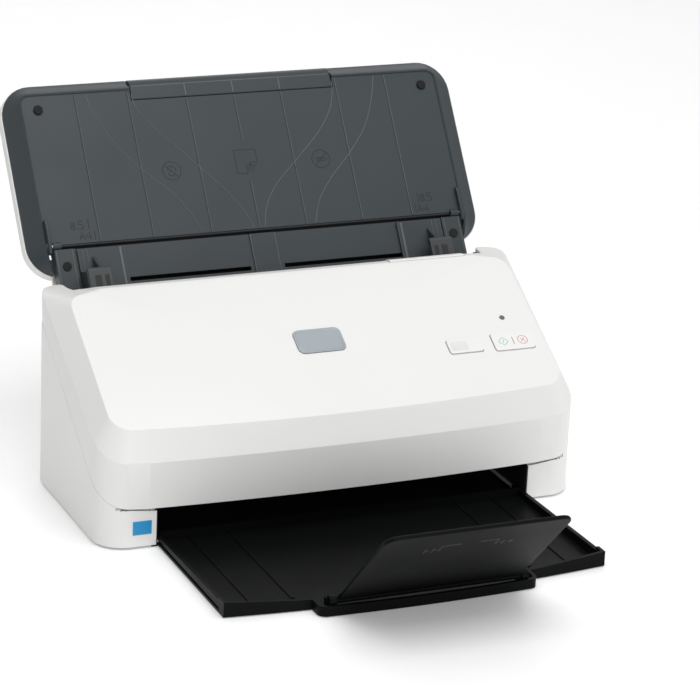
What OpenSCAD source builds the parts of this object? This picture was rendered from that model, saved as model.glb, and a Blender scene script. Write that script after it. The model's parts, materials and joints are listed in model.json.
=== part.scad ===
// Sheet fed document scanner, standing on four feet, in its working state: input tray open, output
// tray pulled out, paper stop raised. +X is to the right seen from the front, +Y is the back, +Z is up.
// A cover hinged at its lower front edge carries the buttons and the front half of the paper path. The
// rear half, the rollers and their drive stay in the base.

/* [Body] */
// Width of the base and cover
body_w = 300; // [290:1:312]
// Depth of the base at the table
base_d = 112; // [110:0.5:116]
// Height of the underside of the base above the table
foot_h = 1.5; // [1:0.1:2]
// Thickness of the white casing walls
wall = 2.5; // [2:0.1:3]
// Radius of the upright front corners
corner_r = 18; // [12:1:22]
// Height of the cover's lower edge at the front
lip_z = 24.3; // [24:0.1:24.7]
// Half width of the output opening between the posts
mouth_half = 117.2; // [117:0.1:119]

/* [Cover] */
// Slope of the sloping front face
face_deg = 30.3; // [29:0.1:31]
// How far the cover bows forward in its middle
bow = 5; // [4:0.1:6]
// Width of the bevel along each side of the face
bevel_w = 9.5; // [8:0.5:10]
// Height of the bevel along each side of the face
bevel_h = 12.5; // [11:0.5:13]

/* [Input tray] */
// Slope of the open tray and the chute below it
chute_deg = 54.3; // [53.5:0.1:55]
// Length of the tray beyond its hinge
tray_len = 103.4; // [100:0.2:104]
// Half width of the tray over its rim
tray_half = 147.9; // [147:0.1:148.5]
// Half width of the pull-out section
extension_half = 66; // [60:1:68]

/* [Output tray] */
// How far the tray stands out in front of the posts at its corners
out_reach = 102.5; // [98:0.5:104]
// How far its front edge bows forward in the middle
out_bow = 7.3; // [6:0.1:8]
// How far its middle section stands out beyond the front edge
lip_step = 11; // [9:0.5:12]
// Length of the paper stop
stop_len = 84.5; // [76:0.5:85]
// Half width of the paper stop
stop_half = 55.5; // [50:0.5:56]
// Lean of the raised paper stop from the horizontal
stop_deg = 45; // [44:0.5:60]

/* [Paper path] */
// Slope of the straight path past the image sensors
path_deg = 29.5; // [29:0.1:30]
// Distance between the two guide surfaces
path_gap = 1.6; // [1.4:0.1:1.8]
// Radius of the driven roller tyres
tyre_r = 9.2; // [9:0.05:9.25]
// Radius of the steel shafts
shaft_r = 3; // [2.5:0.25:3]
// Radial clearance of a shaft in its bush
run_fit = 0.05; // [0.03:0.01:0.08]

/* [Gears] */
// Gear module
gear_m = 1; // [1:1:1]
// Teeth on each shaft gear and on the motor gear
gear_n = 20; // [20:1:20]
// Teeth on the idler between the feed and exit gears
idler_n = 28; // [28:1:28]
// Teeth on the pinion between the paper guides
guide_n = 14; // [14:1:14]

/* [Hidden] */
half_w = body_w / 2;
floor_z = foot_h + 1.5;
foot_x = 126.5;
pan_half = mouth_half + wall + 0.6;
pan_z = 0.1;
pan_t = 0.35;
foot_ys = [13, 99];
// Seam between the base and the cover, in the plane x = side wall.
seam_y = 16.3;
seam_z = 36;
seam_deg = 34.5;
seam_gap = 0.4;
function seam_at(y) = seam_z + (y - seam_y) * tan(seam_deg);
lip_back = seam_y + (lip_z - seam_z) / tan(seam_deg);
// Cover hinge, hidden behind the lower front edge of the cover.
pivot_y = 3.4;
pivot_z = 26.4;
hinge_pin_r = 1.25;
lug_r = 2.2;
lug_in = mouth_half + 0.2;
lug_out = mouth_half + 2.8;
// Sloping face of the cover: its upper and lower edges.
face_y = 95;
face_z = 122;
ridge_y = 106.5;
ridge_z = 121;
function face_at(y) = face_z - (face_y - y) * tan(face_deg);
bevel_foot_z = 51.8;
bow_half = half_w - corner_r;
bow_r = (bow_half * bow_half + bow * bow) / (2 * bow);
ear_in = half_w - 16;
ear_y = 123.5;
ear_z = 119;
// Chute plane, shared with the open tray: s runs up it, w stands out of it.
chute_y = 138.6;
chute_z = 124;
chute_half = 132.4;
chute_low = -43.5;
hood_w = -14.5;
back_wall_top = 63.5;
chute_top = 10.8;
hinge_s = 13.6;
hinge_w = -1;
tray_top = hinge_s + tray_len;
tray_w = 13;
tray_r = 20;
leg_in = 133.4;
leg_low = -4.4;
leg_top = 16;
panel_half = 136.5;
panel_top = tray_top - 8;
// Guides and their rack drive behind the chute.
guide_x = 108.4;
guide_s = -10.7;
guide_r = gear_m * guide_n / 2;
rack_half_h = 4;
rack_w0 = -7.2;
rack_w1 = -4.4;
// Paper path frame: t runs up the path from its lower end, n stands out of it.
path_y = 12;
path_z = 30.5;
guide_half = 116;
guide_lo_n = -path_gap / 2;
shaft_n = -9;
t_exit = 20;
t_feed = 68;
t_pick = 92;
t_idler = 44;
t_motor = 80;
motor_n = -25;
t_sensor = 49;
frame_x = 121;
frame_t = 1.5;
gear_x = 128;
gear_w = 5;
pinch_r = 5;
pinch_n = 5.7;
sep_r = 8;
sep_n = 8.8;
flag_t = 87;
flag_n = -7;
latch_t = 102.5;
latch_n = 8;
tyre_xs = [-78, -34, 34, 78];
tyre_w = 18;
// Front panel on the sloping face: u runs down the face, from its upper edge.
button_u = 67.4;
power_x = 88.6;
power_half = 10.8;
power_h = 5.2;
scan_x = 120.2;
scan_half = 12.9;
scan_h = 6.5;
release_x0 = 66;
release_x1 = 115.5;
led_x = 120.4;
led_u = 48.6;
// Output tray and paper stop.
out_half = 115.8;
out_z = 0.6;
out_t = 1.8;
out_back = 12;
out_wall = 2;
out_arc = (out_half * out_half + out_bow * out_bow) / (2 * out_bow);
out_tip = -out_reach - out_bow;
corner_h = 9.4;
side_h = 5.8;
lip_half = 66;
lip_r = 5;
lip_h = 6.4;
// Tongues of the base run in grooves along the tray's sides.
groove_z0 = 2;
groove_z1 = 3.6;
groove_depth = 1.2;
stop_y = out_tip - lip_step + 5.6;
stop_z = 8.4;
stop_t = 2.4;
stop_barrel_r = 2.2;
// The stand's middle, so that the origin lies under the middle of the object's box.
front_y = stop_y - stop_len * cos(stop_deg) - stop_t / 2 * sin(stop_deg);
back_y = chute_y + tray_top * cos(chute_deg) + tray_w * sin(chute_deg);
mid_y = (front_y + back_y) / 2;

$fn = 48;

// Everything is drawn with y = 0 at the face of the front posts, then centred.
module placed() {
    translate([0, -mid_y, 0]) children();
}

// Local y runs up the chute, local z stands out of it.
module on_chute() {
    placed() translate([0, chute_y, chute_z]) rotate([chute_deg, 0, 0]) children();
}

// Local y runs up the paper path, local z stands out of it.
module on_path() {
    placed() translate([0, path_y, path_z]) rotate([path_deg, 0, 0]) children();
}

// Local y runs down the sloping face, local z stands out of it.
module on_face() {
    placed() translate([0, face_y, face_z]) rotate([face_deg, 0, 0]) mirror([0, 1, 0]) children();
}

module both_sides() {
    children();
    mirror([1, 0, 0]) children();
}

// A bar along X with the section given in (y, z), from x0 to x1.
module bar(x0, x1, section) {
    translate([x0, 0, 0]) rotate([90, 0, 90]) linear_extrude(x1 - x0) polygon(section);
}

module block(x0, x1, y0, y1, z0, z1) {
    translate([x0, y0, z0]) cube([x1 - x0, y1 - y0, z1 - z0]);
}

// A cylinder along X.
module rod(x0, x1, y, z, r) {
    translate([x0, y, z]) rotate([0, 90, 0]) cylinder(h = x1 - x0, r = r);
}

// A flat plate with rounded corners, centred on X.
module rounded_plate(half, y0, y1, z0, z1, r) {
    translate([0, 0, z0]) linear_extrude(z1 - z0) rounded_outline(half, y0, y1, r);
}

module rounded_outline(half, y0, y1, r) {
    translate([-half, y0 + r]) square([2 * half, y1 - y0 - 2 * r]);
    translate([-half + r, y0]) square([2 * (half - r), y1 - y0]);
    for (x = [-half + r, half - r], y = [y0 + r, y1 - r]) translate([x, y]) circle(r);
}

// Plan of the casing, with rounded front corners, drawn in by a margin.
module casing_plan(inset, y0, y1) {
    half = half_w - inset;
    r = corner_r - inset;
    translate([-half, y0 + inset + r]) square([2 * half, y1 - y0 - inset - r]);
    translate([-half + r, y0 + inset]) square([2 * (half - r), y1 - y0 - inset]);
    for (x = [-half + r, half - r]) translate([x, y0 + inset + r]) circle(r);
}

// Spur gear with straight-flanked teeth, one tooth on the +x axis.
module gear_2d(n) {
    r = gear_m * n / 2;
    root = r - 1.05 * gear_m;
    circle(root + 0.05, $fn = 60);
    for (i = [0:n - 1]) rotate(i * 360 / n)
        polygon([[root - 0.4, -0.95], [r, -0.56], [r + 0.7, -0.28], [r + 0.7, 0.28], [r, 0.56],
            [root - 0.4, 0.95]]);
}

// Shaft along X through both side frames, with its gear's teeth turned by phase degrees.
module geared_shaft(t, phase) {
    on_path() {
        rod(-frame_x - 4, gear_x + gear_w + 1, t, shaft_n, shaft_r);
        translate([gear_x, t, shaft_n]) rotate([90, 0, 90]) linear_extrude(gear_w)
            difference() {
                rotate(phase) gear_2d(gear_n);
                circle(shaft_r - 0.01);
            }
    }
}

// Turn that puts a gap of a gear opposite the tooth of its neighbour: at is the direction from the
// neighbour to the gear, and turn is the neighbour's own turn.
function mesh_turn(at, turn, n_from, n_to) = at + 180 - ((turn - at) * n_from - 180) / n_to;
at_pick = atan2(shaft_n - motor_n, t_pick - t_motor);
at_feed = atan2(shaft_n - motor_n, t_feed - t_motor);
turn_pick = mesh_turn(at_pick, 0, gear_n, gear_n);
turn_feed = mesh_turn(at_feed, 0, gear_n, gear_n);
turn_idler = mesh_turn(180, turn_feed, gear_n, idler_n);
turn_exit = mesh_turn(180, turn_idler, idler_n, gear_n);

// ---------------------------------------------------------------- base

// Section of the base in (y, z), drawn in by a margin at its back and top.
module base_section(inset) {
    bar(-half_w - 1, half_w + 1, [[-20, foot_h], [base_d - inset, foot_h],
        [base_d - inset, seam_at(base_d) - inset - seam_gap], [-20, seam_at(-20) - inset - seam_gap]]);
}

// Front of the cover's lower edge at x, on the bow or round the corner, and how far it is from the hinge.
function edge_y(x) = x < bow_half ? bow_r - bow - sqrt(bow_r * bow_r - x * x)
    : corner_r - sqrt(corner_r * corner_r - (x - bow_half) * (x - bow_half));
function swing_r(x) = norm([pivot_y - edge_y(x), pivot_z - max(lip_z, seam_at(edge_y(x)))]) + 0.3;
swing_end = bow_half + 9;
swing_step = 2.4;

module main_housing() color("whitesmoke") placed() {
    difference() {
        intersection() {
            translate([0, 0, foot_h]) linear_extrude(110) casing_plan(0, 0, base_d - wall);
            base_section(0);
        }
        // Room inside, open at the top and back.
        difference() {
            translate([0, 0, foot_h - 1]) linear_extrude(120) casing_plan(wall, 0, base_d + 1);
            // Tops of the posts and walls beside the output opening.
            both_sides() block(mouth_half, half_w, 0, 16, 20, 23.3);
            both_sides() block(mouth_half, mouth_half + wall, 0, base_d - wall - 1, foot_h, 23.3);
        }
        block(-mouth_half, mouth_half, -1, base_d, foot_h - 1, 120);
        // Room for the cover's lower edge as it swings under its hinge, less of it round the corner.
        both_sides() for (x = [mouth_half - swing_step : swing_step : swing_end]) intersection() {
            rod(x, x + swing_step + 0.01, pivot_y, pivot_z, swing_r(x));
            block(x, x + swing_step + 0.01, -2, pivot_y, 20, 40);
        }
        // Windows for the screws from below.
        both_sides() for (y = [30, 90]) translate([135, y, foot_h - 1]) cylinder(h = 4, r = 2);
    }
    // Hinge lugs for the cover.
    both_sides() difference() {
        union() {
            rod(lug_in, lug_out, pivot_y, pivot_z, lug_r);
            block(lug_in, lug_out, pivot_y, pivot_y + lug_r, 22, pivot_z);
            block(lug_in, lug_out, pivot_y - 0.6, pivot_y + 6, 20, 23.3);
        }
        rod(lug_in - 1, lug_out + 1, pivot_y, pivot_z, hinge_pin_r + run_fit);
    }
    // Rails that carry the side frames.
    both_sides() block(mouth_half, frame_x + 4, 30, 100, 23.3, 25.8);
    // Tongues that the output tray runs on.
    both_sides() block(out_half - groove_depth + 0.3, mouth_half + 0.1, 1.5, base_d - wall - 2,
        groove_z0 + 0.2, groove_z1 - 0.2);
    // Bosses for the screws of the base plate.
    both_sides() for (y = [30, 90]) difference() {
        translate([135, y, floor_z]) cylinder(h = 14, r = 4);
        translate([135, y, floor_z - 1]) cylinder(h = 12, r = 1.3);
    }
    both_sides() for (y = [30, 90]) block(138.6, half_w - wall + 0.2, y - 1, y + 1, floor_z,
        floor_z + 14);
}

// Back wall, cut down in the middle where the chute passes over it.
module rear_cover() color("white") placed() difference() {
    bar(-half_w, half_w, [[base_d - wall, foot_h], [base_d, foot_h],
        [base_d, seam_at(base_d) - 0.8], [base_d - wall, seam_at(base_d - wall) - 0.8]]);
    block(-chute_half - 0.4, chute_half + 0.4, base_d - wall - 1, base_d + 1, back_wall_top, 110);
    // Openings for the sockets.
    block(-98, -84, base_d - 5, base_d + 1, 34, 46);
    translate([-66, base_d + 1, 40]) rotate([90, 0, 0]) cylinder(h = 6, r = 4.6);
}

// Hood that closes the underside of the chute.
module chute_hood() color("white") difference() {
    on_chute() {
        block(-chute_half, chute_half, -66, 9, hood_w, hood_w + wall);
        block(-chute_half + 2.2, chute_half - 2.2, 6.5, 9, hood_w, -2.8);
        both_sides() block(127.8, 130.2, -46, 9, hood_w, -2.8);
    }
    placed() {
        block(-chute_half - 1, chute_half + 1, 60, base_d - wall, 40, 90);
        block(-chute_half - 1, chute_half + 1, 60, base_d, 40, back_wall_top);
    }
}

// Floor plates on both sides of the output tray, which slides just above the table.
module base_plate() color("dimgray") placed() difference() {
    translate([0, 0, foot_h]) linear_extrude(floor_z - foot_h) casing_plan(wall + 0.15, 0,
        base_d - wall - 0.2);
    block(-pan_half - 0.1, pan_half + 0.1, -1, base_d, 0, 9);
    for (x = [-135, 135], y = [30, 90]) translate([x, y, foot_h - 1]) cylinder(h = 4, r = 1.7);
    // Pockets that the feet are pressed into.
    for (x = [-foot_x, foot_x], y = foot_ys) translate([x, y, foot_h - 1]) cylinder(h = 1.7, r = 3);
}

// Thin pan under the output tray's bay, turned up beside the bay's walls.
module bay_pan() color("#202224") placed() {
    block(-pan_half, pan_half, 14, base_d - wall - 0.2, pan_z, pan_z + pan_t);
    both_sides() block(pan_half - pan_t, pan_half, 16, 102, pan_z, floor_z);
}

module rubber_feet() color("#222222") placed() for (x = [-foot_x, foot_x], y = foot_ys) {
    translate([x, y, 0]) cylinder(h = foot_h, r = 6);
    translate([x, y, 0]) cylinder(h = foot_h + 0.7, r = 3);
}

// Shelf between the output tray and the works above it.
module cavity_roof() color("#303030") placed() difference() {
    union() {
        block(-mouth_half - 1.2, mouth_half + 1.2, 46, base_d - wall - 0.4, 25.9, 27.7);
        for (x = [-90:30:90]) block(x - 0.8, x + 0.8, 48, base_d - wall - 2, 27.6, 30);
    }
}

module chute_plate() color("#3a3f42") {
    on_chute() difference() {
        union() {
            block(-chute_half, chute_half, chute_low, chute_top, -2.6, 0);
            // Raised side rails beyond the guides.
            both_sides() block(119.8, chute_half, chute_low + 12, chute_top, -0.1, 1.2);
            // Middle strip between the guides.
            block(-8.5, 8.5, -16, chute_top, -0.1, 0.8);
            // Cheeks down the sides.
            both_sides() block(chute_half - 2, chute_half, chute_low + 16, chute_top, -7, 0);
        }
        // Slots that the guides' arms run in.
        both_sides() block(11, 116.4, guide_s - 1.3, guide_s + 1.3, -4, 1);
        for (x = [-126.2, 126.2]) translate([x, 0, -3]) cylinder(h = 6, r = 1.6);
        // Room for the pick tyre and the idle end of the paper flag.
        block(-21, 21, chute_low - 1, chute_low + 13, -4, 1);
        block(46, 54, chute_low - 1, chute_low + 12, -4, 1);
        for (x = [-chute_half - 1, chute_half - 6]) rod(x, x + 7, hinge_s, hinge_w, 2.9);
    }
    // Channel that holds the racks and the pinion, with its stub.
    on_chute() {
        both_sides() {
            block(chute_half - 8.6, chute_half - 5.6, guide_s - 14.6, guide_s + 14.6, rack_w0 - 1.6,
                -2.4);
        }
        for (s = [guide_s - 14.6, guide_s + 12.2])
            block(-chute_half + 6, chute_half - 6, s, s + 2.4, rack_w0 - 1.6, -2.5);
        translate([0, guide_s, rack_w0 - 1]) cylinder(h = -2.5 - rack_w0 + 1, r = 2);
    }
    // Knuckles of the tray hinge.
    on_chute() both_sides() difference() {
        union() {
            rod(chute_half - 5, chute_half, hinge_s, hinge_w, 2.5);
            block(chute_half - 5, chute_half, chute_top - 1, hinge_s, hinge_w - 2.5, hinge_w - 0.3);
        }
        rod(chute_half - 6, chute_half + 1, hinge_s, hinge_w, 1.5 + run_fit);
    }
}

// Rubber dots in the rails.
module chute_plugs() color("#151515") on_chute() for (x = [-126.2, 126.2]) translate([x, 0, 0]) {
    translate([0, 0, 1.2]) cylinder(h = 0.7, r = 2.75);
    translate([0, 0, -2.3]) cylinder(h = 3.6, r = 1.6);
}

module lower_paper_guide() color("#26292b") on_path() difference() {
    union() {
        block(-frame_x + 1, frame_x - 1, 2, 112, guide_lo_n - 2, guide_lo_n);
        // Turned-down front edge.
        block(-mouth_half + 1, mouth_half - 1, 1.2, 3.2, guide_lo_n - 4, guide_lo_n - 0.1);
        // Lugs of the paper flag.
        for (x = [44.4, 54]) block(x, x + 1.6, flag_t - 1.6, flag_t + 1.6, flag_n - 1.6, guide_lo_n - 1);
    }
    // Window for the glass.
    block(-guide_half + 2, guide_half - 2, t_sensor - 9, t_sensor + 9, -9, 1);
    // Windows for the tyres.
    for (x = tyre_xs, t = [t_exit, t_feed])
        block(x - tyre_w / 2 - 1, x + tyre_w / 2 + 1, t - 8, t + 8, -9, 1);
    block(-21, 21, t_pick - 8, t_pick + 8, -9, 1);
    block(46, 54, 74, 95, -9, 1);
    rod(44, 56, flag_t, flag_n, 0.95);
}

module rear_glass() color([0.75, 0.85, 0.85, 0.5]) on_path()
    block(-guide_half + 2.2, guide_half - 2.2, t_sensor - 8.8, t_sensor + 8.8, guide_lo_n - 1.9,
        guide_lo_n - 0.1);

module rear_image_sensor() color("#1d1d1f") on_path() difference() {
    block(-guide_half + 3, guide_half - 3, t_sensor - 8, t_sensor + 8, -15, guide_lo_n - 2);
    block(-guide_half + 8, guide_half - 8, t_sensor - 3, t_sensor + 1, -12, guide_lo_n - 1.9);
}

// Steel plate that carries the roller shafts on one side.
module side_plate(x) difference() {
    union() {
        on_path() bar(x - frame_t / 2, x + frame_t / 2, [[12, -1.4], [101, -1.4], [101, -18], [88, -34],
            [71, -34], [60, -20], [14, -13]]);
        // Foot that stands on the rail of the base.
        placed() block(x - frame_t / 2, x + frame_t / 2, 62, 92, 25.9, 47);
    }
    on_path() {
        for (t = [t_exit, t_feed, t_pick]) rod(x - 3, x + 3, t, shaft_n, 5);
        rod(x - 3, x + 3, t_motor, motor_n, 3.6);
    }
}

module side_frame_left() color("#a8acae") side_plate(-frame_x);

module side_frame_right() color("#a8acae") side_plate(frame_x);

module shaft_bushes() color("#d8d4c0") on_path() both_sides() for (t = [t_exit, t_feed,
    t_pick]) difference() {
    union() {
        rod(frame_x - frame_t / 2, frame_x + frame_t / 2 + 1, t, shaft_n, 5);
        rod(frame_x - frame_t / 2 - 1, frame_x - frame_t / 2, t, shaft_n, 5.9);
    }
    rod(frame_x - 5, frame_x + 5, t, shaft_n, shaft_r + run_fit);
}

// Stud that the idler turns on.
module idler_stud() color("#b5b9bc") on_path() {
    rod(frame_x + frame_t / 2, gear_x - 0.6, t_idler, shaft_n, 5);
    rod(gear_x - 0.7, gear_x + gear_w + 0.8, t_idler, shaft_n, shaft_r);
    rod(gear_x + gear_w + 0.4, gear_x + gear_w + 1.4, t_idler, shaft_n, 4.2);
}

module motor_case() color("#8d9296") on_path() difference() {
    union() {
        rod(88.5, frame_x - frame_t / 2, t_motor, motor_n, 13.8);
        rod(frame_x - frame_t / 2 - 1.6, frame_x - frame_t / 2, t_motor, motor_n, 13.9);
        rod(frame_x - frame_t / 2 - 1, frame_x + frame_t / 2 + 0.8, t_motor, motor_n, 3.55);
    }
    rod(98, frame_x + 5, t_motor, motor_n, 2.5 + run_fit);
}

module main_board() color("#1f5b3a") placed() {
    block(-110, 40, 104.6, 106.2, 32, 56);
    // Chips, coils and sockets on the board.
    for (x = [-50, -20, 14]) block(x, x + 14, 102.6, 104.7, 36, 50);
    for (x = [-32, 2]) translate([x, 104.7, 44]) rotate([90, 0, 0]) cylinder(h = 7, r = 3.4);
    for (z = [34, 52]) block(-76, -60, 101.6, 104.7, z, z + 3);
    // Posts to the back wall.
    for (x = [-106, -46, 30]) translate([x, base_d - wall, 53]) rotate([90, 0, 0]) cylinder(h = 3.4,
        r = 2.2);
}

module usb_port() color("#b9bdbf") placed() difference() {
    block(-97, -85, 106.3, base_d - 0.4, 34.6, 45.4);
    block(-95.8, -86.2, 107.3, base_d + 1, 35.8, 44.2);
    block(-98, -94.2, 107, base_d + 1, 44.4, 46);
}

module power_inlet() color("#1b1b1c") placed() translate([-66, 0, 40]) rotate([-90, 0, 0]) {
    difference() {
        translate([0, 0, 106.3]) cylinder(h = base_d - 106.7, r = 4.4);
        translate([0, 0, 107.3]) cylinder(h = base_d, r = 3);
    }
}

module base_screws() color("#c0c4c6") placed() for (x = [-135, 135], y = [30, 90]) {
    translate([x, y, foot_h - 0.4]) cylinder(h = 9, r = 1.25);
    translate([x, y, foot_h - 1.3]) cylinder(h = 1.2, r = 2.6);
}

// Blank blue label on the left post.
module blank_label() color("#1c86c8") placed() block(-131.4, -120.2, -0.25, 0, 8.8, 17);

// ---------------------------------------------------------------- input tray

module tray_panel() color("#454c51") on_chute() difference() {
    union() {
        rounded_plate(panel_half, hinge_s + 0.4, panel_top, -2.4, 0, 3);
        // Sloping border, stepped down towards the rim.
        difference() {
            rounded_plate(tray_half - 1.8, leg_low + 1.8, tray_top - 1.8, -7.5, -5.6, tray_r - 2);
            rounded_plate(panel_half - 3, hinge_s - 2, panel_top - 3, -8, -5, 8);
        }
        difference() {
            rounded_plate(panel_half + 1, hinge_s + 0.4, panel_top + 1, -5.7, -1.2, 4);
            rounded_plate(panel_half - 1.2, hinge_s - 2, panel_top - 1.2, -8, -0.5, 4);
        }
        // Ribs over the panel.
        for (x = [-102, -67, -31, 31, 67, 102]) block(x - 0.4, x + 0.4, hinge_s + 1, panel_top - 8,
            -0.2, 0.3);
        rod(-chute_half + 6, chute_half - 6, hinge_s, hinge_w - 0.4, 1.0);
        // Hinge ears that take the pins.
        both_sides() {
            block(leg_in, leg_in + 3, hinge_s - 4, hinge_s + 4, -7.5, hinge_w);
            rod(leg_in, leg_in + 3, hinge_s, hinge_w, 2.6);
        }
    }
    both_sides() rod(leg_in - 1, leg_in + 4, hinge_s, hinge_w, 1.5);
    // The chute stands between the legs.
    block(-leg_in, leg_in, leg_low - 2, hinge_s - 1.6, -9, 3);
    block(-leg_in, leg_in, leg_low - 2, hinge_s + 0.3, -9, -2.5);
    both_sides() block(chute_half - 5.4, leg_in, 0, hinge_s + 3.4, -9, 3);
    // Opening for the pull-out section.
    block(-extension_half - 0.6, extension_half + 0.6, panel_top - 7.2, tray_top + 5, -9, 3);
    for (x = [-126.2, 126.2]) translate([x, 99.4, -3]) cylinder(h = 5, r = 1.6);
}

module tray_back_shell() color("white") on_chute() difference() {
    union() {
        difference() {
            rounded_plate(tray_half, leg_low, tray_top, -tray_w, -6.6, tray_r);
            rounded_plate(tray_half - 1.7, leg_low + 1.7, tray_top - 1.7, -tray_w + 1.8, -6,
                tray_r - 1.7);
        }
    }
    block(-leg_in, leg_in, leg_low - 2, leg_top - 1.8, -tray_w - 1, 3);
    // The pull-out section leaves through the top wall.
    block(-extension_half - 0.6, extension_half + 0.6, tray_top - 6, tray_top + 2, -9.2, 3);
}

module tray_plugs() color("#151515") on_chute() for (x = [-126.2, 126.2]) translate([x, 99.4, 0]) {
    cylinder(h = 0.9, r = 2.75);
    translate([0, 0, -2.4]) cylinder(h = 2.5, r = 1.6);
}

module tray_hinge_pins() color("#b9bdbf") on_chute() both_sides()
    rod(chute_half - 4.6, leg_in + 3, hinge_s, hinge_w, 1.5);

module tray_extension() color("#41484d") on_chute() {
    // Tongue that slides inside the tray.
    difference() {
        block(-60, 60, 32, tray_top - 7, -9, -7.9);
        for (x = [-46:23:46]) block(x - 8, x + 8, 40, tray_top - 24, -9.5, -7);
    }
    // End cap that is pulled.
    block(-extension_half, extension_half, panel_top - 6.8, tray_top - 0.2, -2.6, -0.4);
    block(-extension_half, extension_half, tray_top - 4.4, tray_top, -9, -0.2);
    both_sides() block(extension_half - 2, extension_half, panel_top - 6.8, tray_top - 1, -9, -1);
}

// ---------------------------------------------------------------- paper guides

// Right guide: wing, upright, arm and rack. The rack lies beyond the pinion on the side side_s.
module guide(side_s) on_chute() {
    difference() {
        block(guide_x - 19.4, guide_x + 10.2, -38, 10, 0.3, 1.7);
        block(guide_x - 22, guide_x - 19, -39, -34, 0, 2);
    }
    // Upright against the paper's edge, and its cap.
    bar(guide_x, guide_x + 1.8, [[5, 1.5], [-6, 12.6], [-26, 12.6], [-34, 1.5]]);
    bar(guide_x + 8.4, guide_x + 10.2, [[-4, 1.5], [-8, 12.6], [-26, 12.6], [-30, 1.5]]);
    block(guide_x - 3.6, guide_x + 10.2, -17, -6, 11.2, 12.6);
    // Arm through the slot in the chute.
    block(guide_x - 1.6, guide_x + 6.4, guide_s - 1, guide_s + 1, rack_w0, 0.4);
    // Rack behind the chute.
    rack_lo = min(side_s * guide_r, side_s * (guide_r + rack_half_h));
    block(guide_x - 1.6, guide_x + 6.4, guide_s + min(rack_lo, -1), guide_s + max(rack_lo + rack_half_h,
        1),
        rack_w0, rack_w1);
    block(-10, guide_x, guide_s + rack_lo + (side_s > 0 ? 1 : 0),
        guide_s + rack_lo + 3 + (side_s > 0 ? 1 : 0),
        rack_w0, rack_w1);
    for (i = [-2:32]) translate([(i + 0.5) * PI * gear_m, guide_s + side_s * (guide_r + 1.05), rack_w0])
        linear_extrude(rack_w1 - rack_w0) scale_side(side_s)
            polygon([[-0.95, 0.1], [-0.56, -1.05], [-0.28, -1.7], [0.28, -1.7], [0.56, -1.05], [0.95,
                0.1]]);
}

module scale_side(side_s) mirror([0, side_s > 0 ? 0 : 1, 0]) children();

module guide_right() color("#33383b") guide(1);

module guide_left() color("#33383b") mirror([1, 0, 0]) guide(-1);

module guide_pinion() color("#d9d6cc") on_chute() translate([0, guide_s, rack_w0]) difference() {
    linear_extrude(rack_w1 - rack_w0) rotate(90) gear_2d(guide_n);
    translate([0, 0, -1]) cylinder(h = 9, r = 2 + run_fit);
}

// ---------------------------------------------------------------- cover

// Plan of the cover, whose front bows forward between the corners.
module cover_plan(inset) {
    casing_plan(inset, 0, 130);
    intersection() {
        translate([0, bow_r - bow]) circle(bow_r - inset, $fn = 720);
        translate([-bow_half, -bow - 1]) square([2 * bow_half, bow + 5]);
    }
}

// Lip and lower bevel that follow the bow.
module bow_limit(inset) translate([0, bow_r - bow, 0]) rotate_extrude($fn = 720)
    polygon([[bow_r - 200, 10], [bow_r - 1 - inset, 10], [bow_r - 1 - inset, lip_z - 0.1],
        [bow_r - inset, lip_z + 0.9], [bow_r - inset, bevel_foot_z],
        [bow_r - 8.6 - inset, bevel_foot_z + 18], [bow_r - 30, 140], [bow_r - 200, 140]]);

module cover_solid(inset, back) intersection() {
    translate([0, 0, 15]) linear_extrude(120) cover_plan(inset);
    bow_limit(inset);
    bar(-half_w, half_w, [[-12, face_at(-12) - inset], [-12, lip_z - inset * 6],
        [lip_back, lip_z - inset * 6], [back, seam_at(back) - inset * 6], [back, ear_z - inset],
        [ridge_y + 2, ridge_z - 0.6 - inset], [ridge_y - 2, ridge_z + 1 - inset],
        [face_y + 4, face_z + 0.9 - inset], [face_y - 1, face_z - 0.6 - inset]]);
}

// Prism beside the face beyond its side bevel, moved in by a margin.
module bevel_room(inset) on_face() both_sides() translate([0, 170, 0]) rotate([90, 0,
    0]) linear_extrude(260)
    polygon([[half_w - bevel_w - inset, 0.4], [half_w - bevel_w - inset, 0], [half_w + 0.1 - inset,
        -bevel_h],
        [half_w + 3, -bevel_h], [half_w + 3, 30], [half_w - bevel_w, 30]]);

module door_cover() color("whitesmoke") difference() {
    placed() cover_solid(0, ear_y);
    bevel_room(0);
    // Hollow under the face.
    difference() {
        placed() intersection() {
            cover_solid(wall, ear_y);
            block(-half_w, half_w, -20, ridge_y - wall, 0, 130);
        }
        bevel_room(wall);
    }
    placed() {
        // Back of the ears and the gap between them for the chute.
        block(-ear_in, ear_in, ridge_y, 140, 60, 140);
        both_sides() translate([0, 0, 60]) linear_extrude(80)
            polygon([[ear_in - 1, ear_y + 0.5], [half_w, base_d], [half_w + 1, base_d], [half_w + 1, 140],
                [ear_in - 1, 140]]);
        // Room for the hinge lugs.
        both_sides() {
            rod(lug_in - 0.4, lug_out + 0.4, pivot_y, pivot_z, lug_r + 0.35);
            block(lug_in - 0.4, lug_out + 0.4, pivot_y - 1, pivot_y + 8, 15, pivot_z);
        }
        // Opening for the release bar.
        block(release_x0 - 0.4, release_x1 + 0.4, 98.6, ridge_y + 1, 112.4, 130);
    }
    // Openings for the buttons, the lamp and the badge.
    on_face() {
        button_hole(power_x, power_half, power_h);
        button_hole(scan_x, scan_half, scan_h);
        translate([led_x, led_u, -5]) cylinder(h = 7, r = 1.6);
        rounded_plate(15.2, 43.2, 61.2, -0.8, 2, 4);
        for (x = [-8, 8]) translate([x, 52.2, -4]) cylinder(h = 5, r = 1.2);
    }
}

module button_hole(x, half, h) translate([x, button_u, -5])
    linear_extrude(8) translate([0, -h - 0.25]) rounded_outline_at(half + 0.25, 2 * h + 0.5);

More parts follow.
